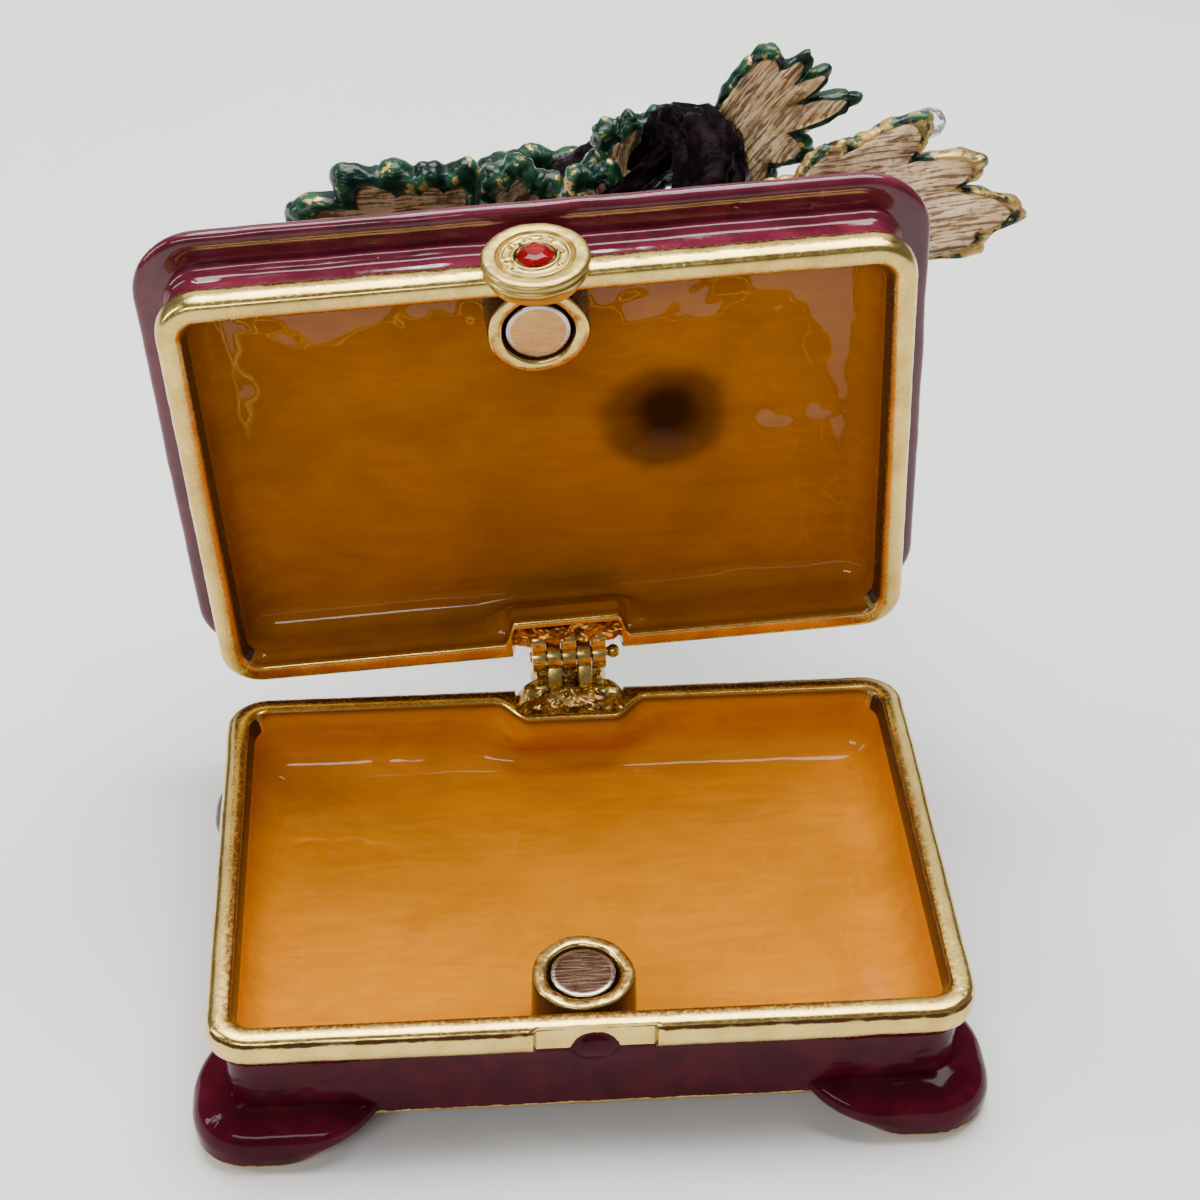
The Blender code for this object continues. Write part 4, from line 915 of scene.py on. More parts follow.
treeForm = {
    "foot": (10.0, -1.5, 17.75),
    "trunkRadius": 4.2,
    "thickness": 3.25,
    "edge": 0.92,  # share of the solid pad's reach, so that the knobs end where it does
    "knobs": 0.50,
    "smallKnobs": 0.20,
    "roll": 1.2,  # radius of the glazed roll along a pad's edge
    "thinRolls": {"fan": 0.46, "right": 0.42, "middle": 0.8},  # share of that radius on the finer pads
    "limbSteps": ((100, 52), (36, 28), (22, 24)),  # along and round the trunk, a branch and a root
    "trunk": (
        (0.0, 0.0, 0.2, 1.12), (0.0, 0.0, 1.6, 1.0), (0.3, 0.0, 3.4, 0.90), (2.0, -0.6, 6.5, 0.84),
        (4.2, -2.6, 10.0, 0.78), (6.3, -6.1, 16.0, 0.76), (6.6, -8.3, 21.5, 0.74), (4.6, -7.1, 27.0, 0.58),
        (0.6, -2.1, 33.0, 0.44), (-4.4, 4.0, 39.0, 0.34), (-7.8, 9.0, 44.8, 0.20),
    ),
    "branches": (
        # share along the trunk, pad, bend point, radius at both ends
        (0.38, "right", (8.5, -5.1, 11.6), 2.3, 1.5), (0.59, "fan", (8.2, -7.1, 24.6), 2.2, 1.5),
        (0.65, "middle", (3.4, -5.9, 27.2), 1.8, 1.2), (0.65, "inner", (-0.6, -2.9, 24.4), 1.4, 0.9),
        (0.34, "left", (-8.0, -4.6, 7.6), 2.4, 1.5), (0.45, "leftFront", (-3.4, -6.6, 12.4), 1.5, 0.9),
        (0.22, "leftBack", (-15.0, 7.4, 5.6), 2.2, 1.3), (0.41, "rightBack", (8.2, 3.4, 15.4), 2.0, 1.3),
        (0.77, "back", (-8.8, 7.4, 30.2), 1.6, 1.2),
    ),
    "roots": ((15, 1.30), (80, 1.18), (140, 1.34), (200, 1.22), (265, 1.26), (320, 1.18)),  # direction, reach
}
# each pad: root, tilt to the right and back, thickness share, steps round, green share, way of the grain,
# fingers (direction, length, width)
padForms = {
    "right": (
        (14.0, -6.5, 13.4), (2, -3), 1.0, 270, 0.42, -6,
        ((-58, 8.8, 5.6), (-38, 15.2, 6.0), (-14, 18.0, 5.8), (4, 21.5, 6.4), (14, 18.6, 6.8),
         (58, 12.0, 9.0), (100, 8.0, 8.0), (200, 5.5, 7.0)),
    ),
    "fan": (
        (9.0, -5.5, 27.4), (-3, 2), 0.85, 270, 0.85, -52,
        ((-62, 11.2, 5.6), (-46, 12.4, 3.4), (-32, 13.0, 2.8), (-13, 14.0, 3.6), (18, 9.6, 5.4),
         (-132, 4.6, 5.5), (60, 8.0, 7.0), (110, 7.0, 7.0)),
    ),
    "middle": (
        (1.0, -2.7, 28.4), (0, 4), 0.9, 170, 0.9, -80,
        ((-128, 6.0, 5.0), (-96, 6.2, 4.6), (-66, 6.6, 4.6), (20, 5.0, 6.0), (110, 6.0, 7.0),
         (170, 5.5, 6.0)),
    ),
    "inner": (
        (-3.0, -0.1, 25.0), (-4, 2), 0.8, 150, 0.8, -95,
        ((-112, 5.6, 4.4), (-78, 5.8, 4.4), (-20, 4.2, 5.0), (90, 5.0, 6.0), (175, 6.0, 5.4)),
    ),
    "crown": (
        (-8.4, 11.3, 44.6), (0, 0), 1.2, 140, 1.0, 60,
        ((-92, 6.0, 9.0), (-146, 7.2, 7.0), (-30, 7.8, 7.0), (30, 7.4, 7.5), (95, 8.2, 8.5), (165, 8.0, 7.5)),
    ),
    "left": (
        (-18.0, -7.5, 11.6), (-2, -2), 0.95, 250, 1.0, 4,
        ((-158, 14.4, 6.8), (-132, 12.4, 6.2), (-112, 9.8, 5.6), (-88, 9.0, 5.8), (-66, 9.4, 5.2),
         (-20, 7.0, 7.0), (60, 7.5, 8.0), (110, 7.5, 9.0), (165, 9.0, 8.0)),
    ),
    "leftFront": (
        (-10.8, -7.8, 15.4), (4, -4), 0.75, 140, 1.0, -40,
        ((-120, 5.2, 4.6), (-84, 5.8, 4.8), (-40, 5.4, 4.6), (30, 5.0, 5.0), (140, 5.0, 5.5)),
    ),
    "leftBack": (
        (-32.0, 10.5, 8.2), (-4, 3), 1.0, 140, 1.0, 10,
        ((178, 12.4, 7.5), (148, 10.5, 7.5), (206, 9.5, 7.0), (100, 8.4, 8.5), (40, 8.6, 8.0),
         (-40, 8.4, 8.0), (-95, 7.5, 8.0)),
    ),
    "rightBack": (
        (10.0, 9.5, 19.0), (3, 5), 0.95, 140, 1.0, 30,
        ((10, 11.5, 8.0), (45, 10.5, 8.0), (85, 9.6, 8.0), (130, 8.0, 8.0), (-40, 7.0, 7.5), (200, 7.0, 7.5)),
    ),
    "back": (
        (-17.0, 12.5, 30.0), (-3, 4), 1.0, 140, 1.0, 150,
        ((170, 10.5, 8.0), (130, 9.8, 7.6), (80, 8.6, 8.0), (20, 7.6, 8.0), (-60, 7.0, 8.0),
         (-120, 8.6, 8.0)),
    ),
}


def padEdge(fingers, angles):
    # distance from the root to the edge at each angle: the farthest way out of any finger's ellipse
    edge = np.zeros_like(angles)
    for direction, length, width in fingers:
        back = width * 0.45
        halfLong, halfWide, middle = (length + back) / 2, width / 2, (length - back) / 2
        turn = angles - math.radians(direction)
        a = (np.cos(turn) / halfLong) ** 2 + (np.sin(turn) / halfWide) ** 2
        b = middle * np.cos(turn) / halfLong**2
        c = (middle / halfLong) ** 2 - 1
        edge = np.maximum(edge, (b + np.sqrt(b * b - a * c)) / a)
    return edge


def tilted(points, tilt):
    # turns by the tilt back about X, then by the tilt right about Y
    right, back = (math.radians(turn) for turn in tilt)
    sinX, cosX, sinY, cosY = math.sin(back), math.cos(back), math.sin(right), math.cos(right)
    aboutX = np.array([[1, 0, 0], [0, cosX, -sinX], [0, sinX, cosX]])
    aboutY = np.array([[cosY, 0, sinY], [0, 1, 0], [-sinY, 0, cosY]])
    return points @ (aboutY @ aboutX).T


def makePad(form, name, seed):
    # a polar grid round the root: domed top, then a roll round the edge, then the brushed underside let in
    # behind it
    root, tilt, share, steps, green, grain, fingers = padForms[name]
    angles = np.linspace(0, 2 * np.pi, steps, endpoint=False)
    cosA, sinA = np.cos(angles)[:, None], np.sin(angles)[:, None]
    edge = (padEdge(fingers, angles) * form["edge"] - 0.15)[:, None]
    ring = np.concatenate([edge * cosA, edge * sinA, 0 * edge + seed], axis=1)[:, None]
    radius = form["roll"] * (0.70 + 0.30 * share) * form["thinRolls"].get(name, 1.0)
    roll = np.minimum(radius * (1 + 0.30 * noise(ring, 2.8, seed)), edge * 0.24)
    thick = form["thickness"] * share
    over = np.concatenate([[0.0001], np.linspace(0.12, 0.97, 11)])[None, :]
    around = np.radians(np.linspace(92, -138, 18))[None, :]
    back = np.concatenate([np.linspace(0.975, 0.10, 12), [0.0001]])[None, :]
    crest, sole = roll * 1.95, roll * (0.95 + np.sin(around[:, -1:]))
    soleEdge = edge + roll * (np.cos(around[:, -1:]) - 1)
    onRing = edge - roll + roll * np.cos(around)
    reach = np.concatenate([over * (edge - roll), onRing, back * soleEdge], axis=1)
    onTop = thick + (crest - thick) * over**2.2
    below = sole + (0.34 - sole) * (1 - back**4)
    height = np.concatenate([onTop, roll * (0.95 + np.sin(around)), below], axis=1)
    facing = np.concatenate([0 * over + 0.5 * np.pi, around, 0 * back - 0.5 * np.pi], axis=1)
    points = np.stack([reach * cosA, reach * sinA, height], axis=-1)
    outward = np.stack([np.cos(facing) * cosA, np.cos(facing) * sinA, np.sin(facing) + 0 * cosA], axis=-1)
    column = np.arange(reach.shape[1])
    under = smoothStep(28.5, 31, column) * np.ones_like(reach)
    onRoll = smoothStep(10, 13, column) * (1 - under)
    thin = name in form["thinRolls"]
    bump = pebbles(points + 50, 1.5 if thin else 2.2, seed)
    small = pebbles(points + 90, 0.9, seed + 5)
    rise = form["knobs"] * (1.35 if thin else 1.0) * (bump - 0.35) + form["smallKnobs"] * small
    relief = (1 - under) * rise + under * 0.10 * roughNoise(points, 1.4, seed + 4)
    points = points + outward * (relief * smoothStep(0.0, 0.8, reach))[..., None]
    way = math.radians(grain)
    along = points[..., 0] * math.cos(way) + points[..., 1] * math.sin(way)
    across = points[..., 1] * math.cos(way) - points[..., 0] * math.sin(way)
    place = np.array(form["foot"]) + np.array(root)
    enamel = green * np.clip(1 - under - 0.25 * (1 - onRoll) * (1 - green), 0, 1)
    tip = np.clip(bump * 0.8 + small * 0.5, 0, 1) * (1 - under)
    return grid(tilted(points, tilt) + place, 0, enamel=enamel, tip=tip, along=along, across=across)


def smoothPath(points, count):
    # a line through every point, by the Catmull-Rom formula between each pair
    p = np.array(points, float)
    p = np.concatenate([2 * p[:1] - p[1:2], p, 2 * p[-1:] - p[-2:-1]])
    at = np.linspace(0, len(points) - 1.000001, count)
    i = at.astype(int)
    t = (at - i)[:, None]
    a, b, c, d = p[i], p[i + 1], p[i + 2], p[i + 3]
    return 0.5 * (2 * b + (c - a) * t + (2 * a - 5 * b + 4 * c - d) * t**2 + (3 * b - a - 3 * c + d) * t**3)


def makeLimb(points, steps, around, seed, knot=0.26):
    # circles carried along a path, squared to it, with bark ridges that follow its length and closed ends
    path = smoothPath(points, steps)
    line, radius = path[:, :3], path[:, 3]
    tangent = np.gradient(line, axis=0)
    tangent = tangent / np.linalg.norm(tangent, axis=1, keepdims=True)
    side = np.cross(tangent, np.array([0.3, 0.9, 0.2]))
    side = side / np.linalg.norm(side, axis=1, keepdims=True)
    other = np.cross(tangent, side)
    turn = np.linspace(0, 2 * np.pi, around, endpoint=False)[:, None]
    along = np.concatenate([[0], np.cumsum(np.linalg.norm(np.diff(line, axis=0), axis=1))])
    ridges = [np.cos(turn) * 1.7 + 0 * along, np.sin(turn) * 1.7 + 0 * along, 0 * turn + along * 0.16]
    ridges = np.stack(ridges, axis=-1)
    rough = roughNoise(ridges + seed, 0.50, seed, 4)
    knots = pebbles(ridges * np.array([1, 1, 4.4]) + seed, 0.95, seed + 7)
    size = radius[None, :] * (1 + knot * (0.7 * rough + 0.8 * knots - 0.35))
    ends = np.clip(np.minimum(np.arange(steps), np.arange(steps)[::-1]) / 2.0, 0.001, 1) ** 0.5
    size = size * ends[None, :]
    direction = np.cos(turn)[..., None] * side[None] + np.sin(turn)[..., None] * other[None]
    made = line[None] + direction * size[..., None]
    return grid(made, 1, tip=np.clip(knots + rough * 0.4, 0, 1))


def makeTree(form):
    # every limb and pad in its place, as one casting
    foot = np.array(form["foot"])
    trunkSteps, branchSteps, rootSteps = form["limbSteps"]
    trunk = np.array(form["trunk"])
    trunk = np.concatenate([trunk[:, :3] + foot, trunk[:, 3:] * form["trunkRadius"]], axis=1)
    surfaces = [makeLimb(trunk, *trunkSteps, 3)]
    line = smoothPath(trunk, 201)
    for number, (share, name, bend, first, last) in enumerate(form["branches"]):
        start = line[int(share * 200), :3]
        end = np.array(padForms[name][0]) + foot + np.array([0, 0, 1.1])
        middle = np.array(bend) + foot
        path = [
            (*start, first),
            (*(start * 0.45 + middle * 0.55), first * 0.9),
            (*middle, (first + last) / 2),
            (*end, last),
            (*(end * 1.12 - middle * 0.12), last * 0.8),
        ]
        surfaces.append(makeLimb(path, *branchSteps, 11 + number))
    for number, (direction, reach) in enumerate(form["roots"]):
        way = np.array([math.cos(math.radians(direction)), math.sin(math.radians(direction)), 0])
        far = form["trunkRadius"] * reach
        stations = ((1.0, 3.4, 1.7), (2.9, 1.9, 1.45), (far * 0.84, 0.95, 1.0), (far * 0.99, 0.45, 0.62))
        path = [(*(foot + way * out + [0, 0, up]), radius) for out, up, radius in stations]
        surfaces.append(makeLimb(path, *rootSteps, 31 + number, 0.2))
    for number, name in enumerate(padForms):
        surfaces.append(makePad(form, name, 101 + 13 * number))
    return surfaces


foliageLook = {
    "deep": (0.0015, 0.013, 0.0075),
    "leaf": (0.0035, 0.018, 0.0095),
    "bright": (0.020, 0.078, 0.034),
    "bark": (0.0022, 0.0009, 0.0016),
    "barkLight": (0.010, 0.0038, 0.0060),
    "tip": (0.52, 0.34, 0.11),
    "hollow": (0.050, 0.024, 0.012),
    "brushed": (0.92, 0.68, 0.42),
    "brushedLow": (0.72, 0.50, 0.28),
    "scratch": (0.13, 0.066, 0.030),
}


def makeFoliage(name, look):
    # a gold casting with enamel: green on tops and rolls, granulated gold where it is bare, brushed below
    finish, tree, shader = newFinish(name)
    place = objectPlace(tree)
    enamel, tip = layer(tree, "enamel"), layer(tree, "tip")
    lay = addNode(tree, "ShaderNodeCombineXYZ")
    across = sums(tree, "MULTIPLY", layer(tree, "across"), 3.0)
    along = sums(tree, "MULTIPLY", layer(tree, "along"), 0.26)
    feed(tree, lay, {"X": across, "Y": along})
    striae = speckle(tree, lay.outputs["Vector"], 1.0, 4, 0.6, 0.5)
    patches = ranged(tree, speckle(tree, place, 300, 5), 0.35, 0.7)
    gold = blended(tree, patches, look["brushed"], look["brushedLow"])
    marks = plusShare(tree, striae, speckle(tree, place, 1500, 4), 0.30)
    gold = blended(tree, ranged(tree, marks, 0.60, 0.74, 0.0, 0.85), gold, look["scratch"])
    grains = blended(tree, ranged(tree, tip, 0.30, 0.75), look["hollow"], look["tip"])
    gold = blended(tree, ranged(tree, enamel, 0.15, 0.4), gold, grains)
    clouds = speckle(tree, place, 520, 4)
    green = blended(tree, ranged(tree, clouds, 0.32, 0.62), look["deep"], look["leaf"])
    # brighter green on the knob tops: partly thinner enamel, partly painted highlight
    green = blended(tree, ranged(tree, tip, 0.58, 1.0, 0.0, 0.85), green, look["bright"])
    broken = plusShare(tree, enamel, speckle(tree, place, 700, 4), 0.75)
    worn = sums(tree, "MULTIPLY", tip, speckle(tree, place, 1100, 3))
    whole = sums(tree, "SUBTRACT", 1.0, ranged(tree, worn, 0.50, 0.57))
    leafy = sums(tree, "MULTIPLY", ranged(tree, broken, 0.76, 0.86), whole)
    fine = speckle(tree, place, 2600, 3)
    bareRough = ranged(tree, fine, 0.3, 0.7, 0.34, 0.52)
    leafRough = ranged(tree, fine, 0.3, 0.7, 0.08, 0.20)
    values = {
        "Base Color": blended(tree, leafy, gold, green),
        "Metallic": ranged(tree, leafy, 0.0, 1.0, 0.80, 0.0),
        "Specular IOR Level": 0.22,
        "Roughness": mixedValue(tree, leafy, bareRough, leafRough),
        "Coat Weight": 0.08,
        "Coat Roughness": 0.06,
    }
    feed(tree, shader, values)
    bumpFrom(tree, shader, plusShare(tree, speckle(tree, place, 1300, 5, 0.6), striae, 1.4), 0.70)
    return finish


def makeBark(name, look):
    # near black glaze over knotted bark: a purple tint on the knots, faint glints, deep grain in the bump
    finish, tree, shader = newFinish(name)
    place = objectPlace(tree)
    knots = sums(tree, "MULTIPLY", layer(tree, "tip"), speckle(tree, place, 900, 4))
    fine = speckle(tree, place, 2200, 4)
    values = {
        "Base Color": blended(tree, ranged(tree, knots, 0.25, 0.60), look["bark"], look["barkLight"]),
        "Specular IOR Level": 0.02,
        "Roughness": ranged(tree, fine, 0.3, 0.7, 0.16, 0.45),
    }
    feed(tree, shader, values)
    bumpFrom(tree, shader, sums(tree, "ADD", speckle(tree, place, 1200, 5, 0.65), fine), 0.9)
    return finish


foliageFinish = makeFoliage("foliageEnamel", foliageLook)
barkFinish = makeBark("barkEnamel", foliageLook)
bonsai = opened(makeTree(treeForm))
makePiece("bonsai", bonsai, [foliageFinish, barkFinish], "lid_body", "bonsai_tree", sharp=60)


# medallion on the lid's front band, worked out shut

medallionForm = {
    "back": (0.0, -21.15, 8.7),
    "profile": (
        (0.001, 0.0), (3.9, 0.0), (4.14, 0.08), (4.18, 0.62), (4.02, 0.72), (4.02, 0.82), (4.26, 0.92),
        (4.3, 1.18), (4.22, 1.44), (3.9, 1.60), (3.3, 1.56), (3.10, 1.52), (3.00, 1.28), (2.90, 1.28),
        (2.80, 1.48), (2.62, 1.50), (2.50, 1.34), (1.98, 1.34), (1.88, 1.52), (1.70, 1.54), (1.62, 1.36),
        (1.60, 0.80), (0.001, 0.78),
    ),
    "beads": (
        # across, up, radius and height of each grain in the sunk ring
        (-1.73, 1.45, 0.40, 0.26), (-2.22, -0.23, 0.42, 0.26), (-1.97, -1.34, 0.28, 0.24),
        (-1.74, -0.64, 0.20, 0.18), (-1.12, 1.46, 0.20, 0.18), (-0.45, 2.14, 0.42, 0.16),
        (0.77, 2.08, 0.40, 0.12), (2.02, 0.30, 0.36, 0.24), (1.78, -1.32, 0.26, 0.18),
        (1.60, 1.62, 0.32, 0.10),
    ),
    "lacquerReach": 4.10,
    # direction and radius of the lacquer thread
    "lacquer": ((212, 0.10), (232, 0.24), (256, 0.30), (284, 0.34), (300, 0.26), (318, 0.10)),
}


def makeMedallion(form):
    # the profile turned about the line that points out of the lid's front, with round grains in the sunk
    # ring: each rises by height * (1 - (distance / radius)^2), and painted shade rings each grain
    line = evenLine(roundedLine(form["profile"], 1), 0.07)
    points = turned(line, form["back"], (0, -1, 0), 224)
    across, up = points[..., 0], points[..., 2] - form["back"][2]
    sunk = smoothStep(1.72, 1.85, line[:, 0]) * smoothStep(2.74, 2.62, line[:, 0]) * (line[:, 1] > 1.0)
    rise, beadShadow = np.zeros_like(across), np.zeros_like(across)
    for beadX, beadZ, beadRadius, beadHeight in form["beads"]:
        off = np.hypot(across - beadX, up - beadZ) / beadRadius
        rise = np.maximum(rise, beadHeight * np.clip(1 - off**2, 0, 1))
        beadShadow = np.maximum(beadShadow, np.exp(-(((off - 1.05) / 0.25) ** 2)) * beadHeight)
    points[..., 1] -= rise * sunk
    face = line[:, 1] > 1.0
    points[..., 1] -= face * 0.03 * roughNoise(points, 1.2, 305)
    groove = np.exp(-(((line[:, 0] - 2.95) / 0.06) ** 2))
    waist = np.exp(-(((line[:, 1] - 0.77) / 0.05) ** 2)) * (line[:, 0] > 3.5)
    # painted shade round the grains, in the groove and under the waist
    cavity = 0.75 * sunk * beadShadow + 0.60 * (groove + waist) * (line[:, 0] > 1.9)
    return grid(points, 0, pit=np.clip(cavity, 0, 0.6))


def makeDrop(form):
    # a thread of amber lacquer along the lower edge of the medallion's back, thickest near its middle
    way, size = np.radians([row[0] for row in form["lacquer"]]), [row[1] for row in form["lacquer"]]
    x, y, z = form["back"]
    reach = form["lacquerReach"]
    path = np.stack([x + reach * np.cos(way), 0 * way + y - 0.10, z + reach * np.sin(way), size], axis=1)
    return makeLimb(path, 40, 20, 311, 0.10)


gemForms = {
    # rings of radius share, height and drawn-in share of the corners, from the table to the point
    "rings": (
        (0.001, 0.62, 0.0), (0.52, 0.62, 0.03), (0.80, 0.44, -0.04), (1.0, 0.16, 0.0), (1.0, 0.06, 0.0),
        (0.62, -0.24, 0.03), (0.25, -0.42, 0.0), (0.001, -0.46, 0.0),
    ),
    "medallion": {"place": (0.0, -22.62, 8.7), "axis": (0, -1, 0), "radius": 1.5, "height": 0.85},
    "tree": {"place": (35.55, -14.0, 34.62), "axis": (0.035, 0.052, 0.998), "radius": 1.58, "height": 1.25},
}


def makeGem(form, rings, sides=16):
    # a cut stone: rings of corners joined by flat facets, every second corner drawn in and lowered a little
    line = np.array(rings, float)
    profile = line[:, :2] * np.array([form["radius"], form["height"]])
    points = turned(profile, form["place"], form["axis"], sides)
    middle = np.array(form["place"]) + profile[None, :, 1, None] * np.array(form["axis"])
    odd = (np.arange(sides) % 2)[:, None, None]
    points = middle + (points - middle) * (1 - odd * (0.03 + np.abs(line[None, :, 2, None]) * 2.2))
    return grid(points, 0)


def makeCrystal(name, deep, light, clear, shine=0.5):
    # cut glass: see-through by plain values, its tint changing a little through the stone
    finish, tree, shader = newFinish(name)
    tint = ranged(tree, speckle(tree, objectPlace(tree), 700, 3), 0.35, 0.65)
    values = {
        "Base Color": blended(tree, tint, deep, light),
        "Transmission Weight": clear,
        "Roughness": 0.03,
        "IOR": 1.52,
        "Specular IOR Level": shine,
    }
    feed(tree, shader, values)
    return finish


medallion = opened([makeMedallion(medallionForm), makeDrop(medallionForm)])
medallionFinishes = [satinFinish, trayAmber]
makePiece("medallionDisc", medallion, medallionFinishes, "lid_body", "medallion", sharp=60)
redGlass = makeCrystal("redCrystal", (0.085, 0.0, 0.0015), (0.42, 0.0003, 0.007), 0.55, 0.05)
clearGlass = makeCrystal("clearCrystal", (0.86, 0.88, 0.92), (0.97, 0.97, 0.98), 0.9)
for gem, finish in (("medallion", redGlass), ("tree", clearGlass)):
    node = gem + "_crystal"
    made = opened([makeGem(gemForms[gem], gemForms["rings"])])
    makePiece(gem + "Stone", made, [finish], "lid_body", node, sharp=2)


# hinge: two leaves with interleaved knuckles, soldered into their notches, and the pin

hingeForm = {
    "radius": 1.5,
    "bore": 0.6,
    "length": 1.22,
    "pitch": 1.34,
    "first": -2.94,
    "trayLeg": (55, 3.7, 2.0),  # from the axis: direction, length and width
    "lidLeg": (3, 2.8, 1.8),
    "traySlab": (4.85, 17.25, 23.5, 6.75, 7.75),  # half width, front, back, underside, top
    "lidSlab": (4.66, 17.95, 20.6, 11.0, 9.75),
    "slabSteps": (64, 30, 10),
    "pin": (
        # radius, place along the axis
        (0.001, -3.12), (0.40, -3.12), (0.5, -3.04), (0.5, 3.55), (0.42, 3.75), (0.40, 3.88), (0.52, 4.0),
        (0.65, 4.30), (0.62, 4.62), (0.42, 4.90), (0.001, 5.02),
    ),
}


def makeKnuckle(form, number, leg):
    # an outline round the pin, the larger of a circle and a leg, carried along the axis and back down the
    # bore
    axis = np.array(hinge["axis"]) / np.linalg.norm(hinge["axis"])
    forward = np.array([0.0, -1.0, 0.0]) + axis * axis[1]
    forward = forward / np.linalg.norm(forward)
    down = np.cross(axis, forward)
    angles = np.linspace(0, 2 * np.pi, 80, endpoint=False)
    edge = np.maximum(form["radius"], padEdge((leg,), angles))[:, None]
    along = np.array([0.0, 0.035, 0.12, 0.5, 0.88, 0.965, 1.0, 1.0, 0.5, 0.0])[None, :]
    share = np.array([0.90, 0.97, 0.995, 1.0, 0.995, 0.97, 0.90, 0.0, 0.0, 0.0])[None, :]
    reach = form["bore"] + (edge - form["bore"]) * share
    start = form["first"] + form["pitch"] * number
    around = np.cos(angles)[:, None, None] * forward + np.sin(angles)[:, None, None] * down
    middle = np.array(hinge["pivot"]) + (start + along * form["length"])[..., None] * axis
    return grid(middle + reach[..., None] * around, 0, roundV=True)


def makeSlab(slab, seed, lift, crumple):
    # rounded rectangles from the middle of the face out to the edge, round it and back under; the face is
    # lumpy with painted shade in its creases, lifted towards the knuckles, and banded with brown painted
    # shade where it faces down
    half, front, back, under, top = slab
    way = aroundBox(*hingeForm["slabSteps"])
    grow = np.concatenate([np.linspace(0.002, 0.94, 20), [0.975, 0.995, 1.0, 1.0, 0.97, 0.5, 0.002]])
    level = np.concatenate([np.full(20, 1.0), [0.985, 0.93, 0.80, 0.2, 0.0, 0.0, 0.0]])
    halfX, halfY = half * grow, (back - front) / 2 * grow
    radius = np.minimum(0.4, np.minimum(halfX, halfY) * 0.9)
    high = under + (top - under) * level
    points = carriedRound(way, halfX, halfY, radius, high, hinge["shift"], (front + back) / 2)
    x, y = points[..., 0], points[..., 1]
    flat = points * np.array([1.0, 1.0, 0.0])
    creased = 1 - np.abs(roughNoise(flat * np.array([0.8, 1.2, 1.0]), 1.1, seed, 3)) * 2.2
    lumps = crumple * creased + 0.25 * crumple * roughNoise(flat, 0.6, seed + 5, 2)
    face = smoothStep(0.7, 1.0, level)
    direction = 1 if top > under else -1
    side = np.abs(x - hinge["shift"])
    flank = 0.4 * lift * smoothStep(3.1, 3.6, side) * smoothStep(4.4, 4.1, side)
    rise = (lift * smoothStep(18.6, 20.2, y) + flank) * smoothStep(4.8, 4.4, side)
    points[..., 2] += direction * face * (rise + lumps - crumple * 0.4)
    # painted shade in the creases, and below in a band where the leaf meets the rim
    pit = smoothStep(-0.05, -0.7, creased) * face * 0.6
    if direction < 0:
        band = smoothStep(18.75, 18.35, y - 0.4 * roughNoise(flat, 1.3, seed + 7, 2)) * face
        points[..., 2] += 0.5 * band
        pit = np.maximum(pit, band * 0.95)
    points[..., 0] -= (x - hinge["shift"]) * 0.30 * smoothStep(20.3, 21.3, y)
    points[..., :2] += 0.06 * roughNoise(points, 0.9, seed + 9)[..., None]
    return grid(points, 1, pit=pit)


trayLeaf = [makeSlab(hingeForm["traySlab"], 401, 0.72, 0.15)]
trayLeaf += [makeKnuckle(hingeForm, number, hingeForm["trayLeg"]) for number in (1, 3)]
makePiece("trayLeaf", trayLeaf, [goldFinish, solderFinish], "tray_body", "hinge_leaf_tray")
lidLeaf = [makeSlab(hingeForm["lidSlab"], 431, 0.0, 0.30)]
lidLeaf += [makeKnuckle(hingeForm, number, hingeForm["lidLeg"]) for number in (0, 2, 4)]
lidLeaf = opened(lidLeaf)
makePiece("lidLeaf", lidLeaf, [goldFinish, sheetFinish], "lid_body", "hinge_leaf_lid")
pinPoints = turned(roundedLine(hingeForm["pin"], 2), hinge["pivot"], hinge["axis"], 36)
makePiece("hingePin", [grid(pinPoints)], [goldFinish], "tray_body", "hinge_pin")


# floor, light and camera

studio = {
    "floor": -4.3,
    "pale": (0.80, 0.80, 0.79),
    "paleLow": (0.788, 0.788, 0.77815),
    "cameraPlace": (-9.2, -154.6, 151.6),
    "cameraTurn": (52.71, -0.22, -3.83),
    "lens": 76.0,
    "room": (0.84, 0.84, 0.86),
    "roomStrength": 0.25,
    "lamps": (
        # name, place, aim, size, power, colour
        ("overheadBox", (40, 110, 430), (0, 20, 10), (420, 260), 4.0, (1, 1, 1)),
        ("thinStrip", (-30, 250, 420), (0, 10, 10), (420, 9), 0.55, (1, 1, 1)),
        ("frontStrip", (-150, -330, 300), (0, 10, 10), (260, 60), 0.7, (1, 1, 1)),
        ("backPanel", (20, 420, 300), (0, 20, 30), (560, 240), 0.42, (1, 1, 1)),
        ("leftBox", (-380, 20, 220), (0, 10, 15), (60, 260), 0.8, (1.0, 0.98, 0.95)),
    ),
}


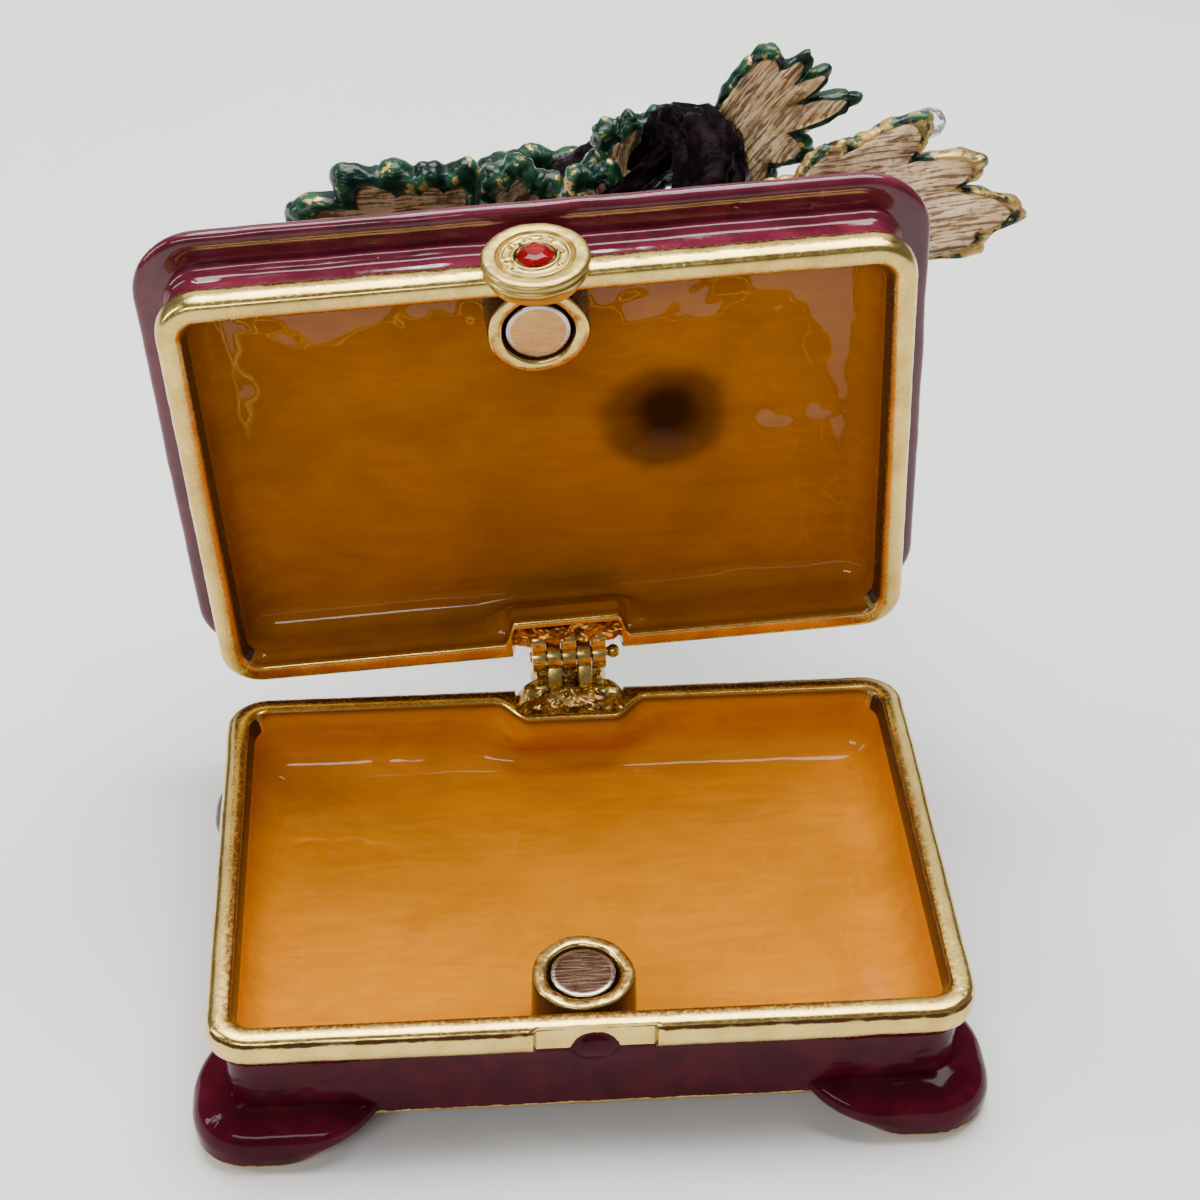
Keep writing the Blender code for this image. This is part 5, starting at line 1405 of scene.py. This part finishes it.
def makeFloor(form):
    # a very large pale sheet that curves up far behind: flat in front, then rising by the square of the way
    back = np.linspace(-1200, 1500, 60)[None, :]
    across = np.linspace(-1500, 1500, 9)[:, None]
    rise = np.clip(back - 700, 0, None) ** 2 / 800
    points = np.stack([across + 0 * back, back + 0 * across, form["floor"] + rise + 0 * across], axis=-1)
    finish, tree, shader = newFinish("paleTable")
    tint = ranged(tree, speckle(tree, objectPlace(tree), 40, 3), 0.3, 0.7)
    feed(tree, shader, {"Base Color": blended(tree, tint, form["pale"], form["paleLow"]), "Roughness": 0.75})
    mesh = bpy.data.meshes.new("paleTable")
    made = grid(points, roundU=False)
    mesh.from_pydata((made["points"] * mm).tolist(), [], made["quads"].tolist())
    mesh.materials.append(finish)
    mesh.shade_smooth()
    floor = bpy.data.objects.new("paleTable", mesh)
    bpy.context.scene.collection.objects.link(floor)


def areaLight(name, place, target, size, power, colour):
    # a rectangle of light at a place, facing its target
    data = bpy.data.lights.new(name, "AREA")
    data.shape = "RECTANGLE"
    data.size, data.size_y = size[0] * mm, size[1] * mm
    data.energy = power
    data.color = colour
    lamp = bpy.data.objects.new(name, data)
    bpy.context.scene.collection.objects.link(lamp)
    lamp.location = np.array(place) * mm
    aim = (np.array(target) - np.array(place)) * mm
    lamp.rotation_euler = Vector(aim).to_track_quat("-Z", "Y").to_euler()


def makeCamera(form):
    # the photograph's view: its place, its turn about X, Y and Z, and its lens
    data = bpy.data.cameras.new("photoView")
    data.lens = form["lens"]
    data.sensor_width = 36.0
    data.sensor_fit = "HORIZONTAL"
    data.clip_start, data.clip_end = 0.01, 20
    camera = bpy.data.objects.new("photoView", data)
    bpy.context.scene.collection.objects.link(camera)
    camera.location = np.array(form["cameraPlace"]) * mm
    camera.rotation_euler = [math.radians(turn) for turn in form["cameraTurn"]]
    bpy.context.scene.camera = camera


def makeRoom(form):
    # a soft grey room round everything
    world = bpy.data.worlds.new("softRoom")
    world.use_nodes = True
    values = {"Color": form["room"], "Strength": form["roomStrength"]}
    feed(world.node_tree, world.node_tree.nodes["Background"], values)
    bpy.context.scene.world = world


makeFloor(studio)
for lamp in studio["lamps"]:
    areaLight(*lamp)
makeRoom(studio)
makeCamera(studio)
print("floor, lights and camera placed")
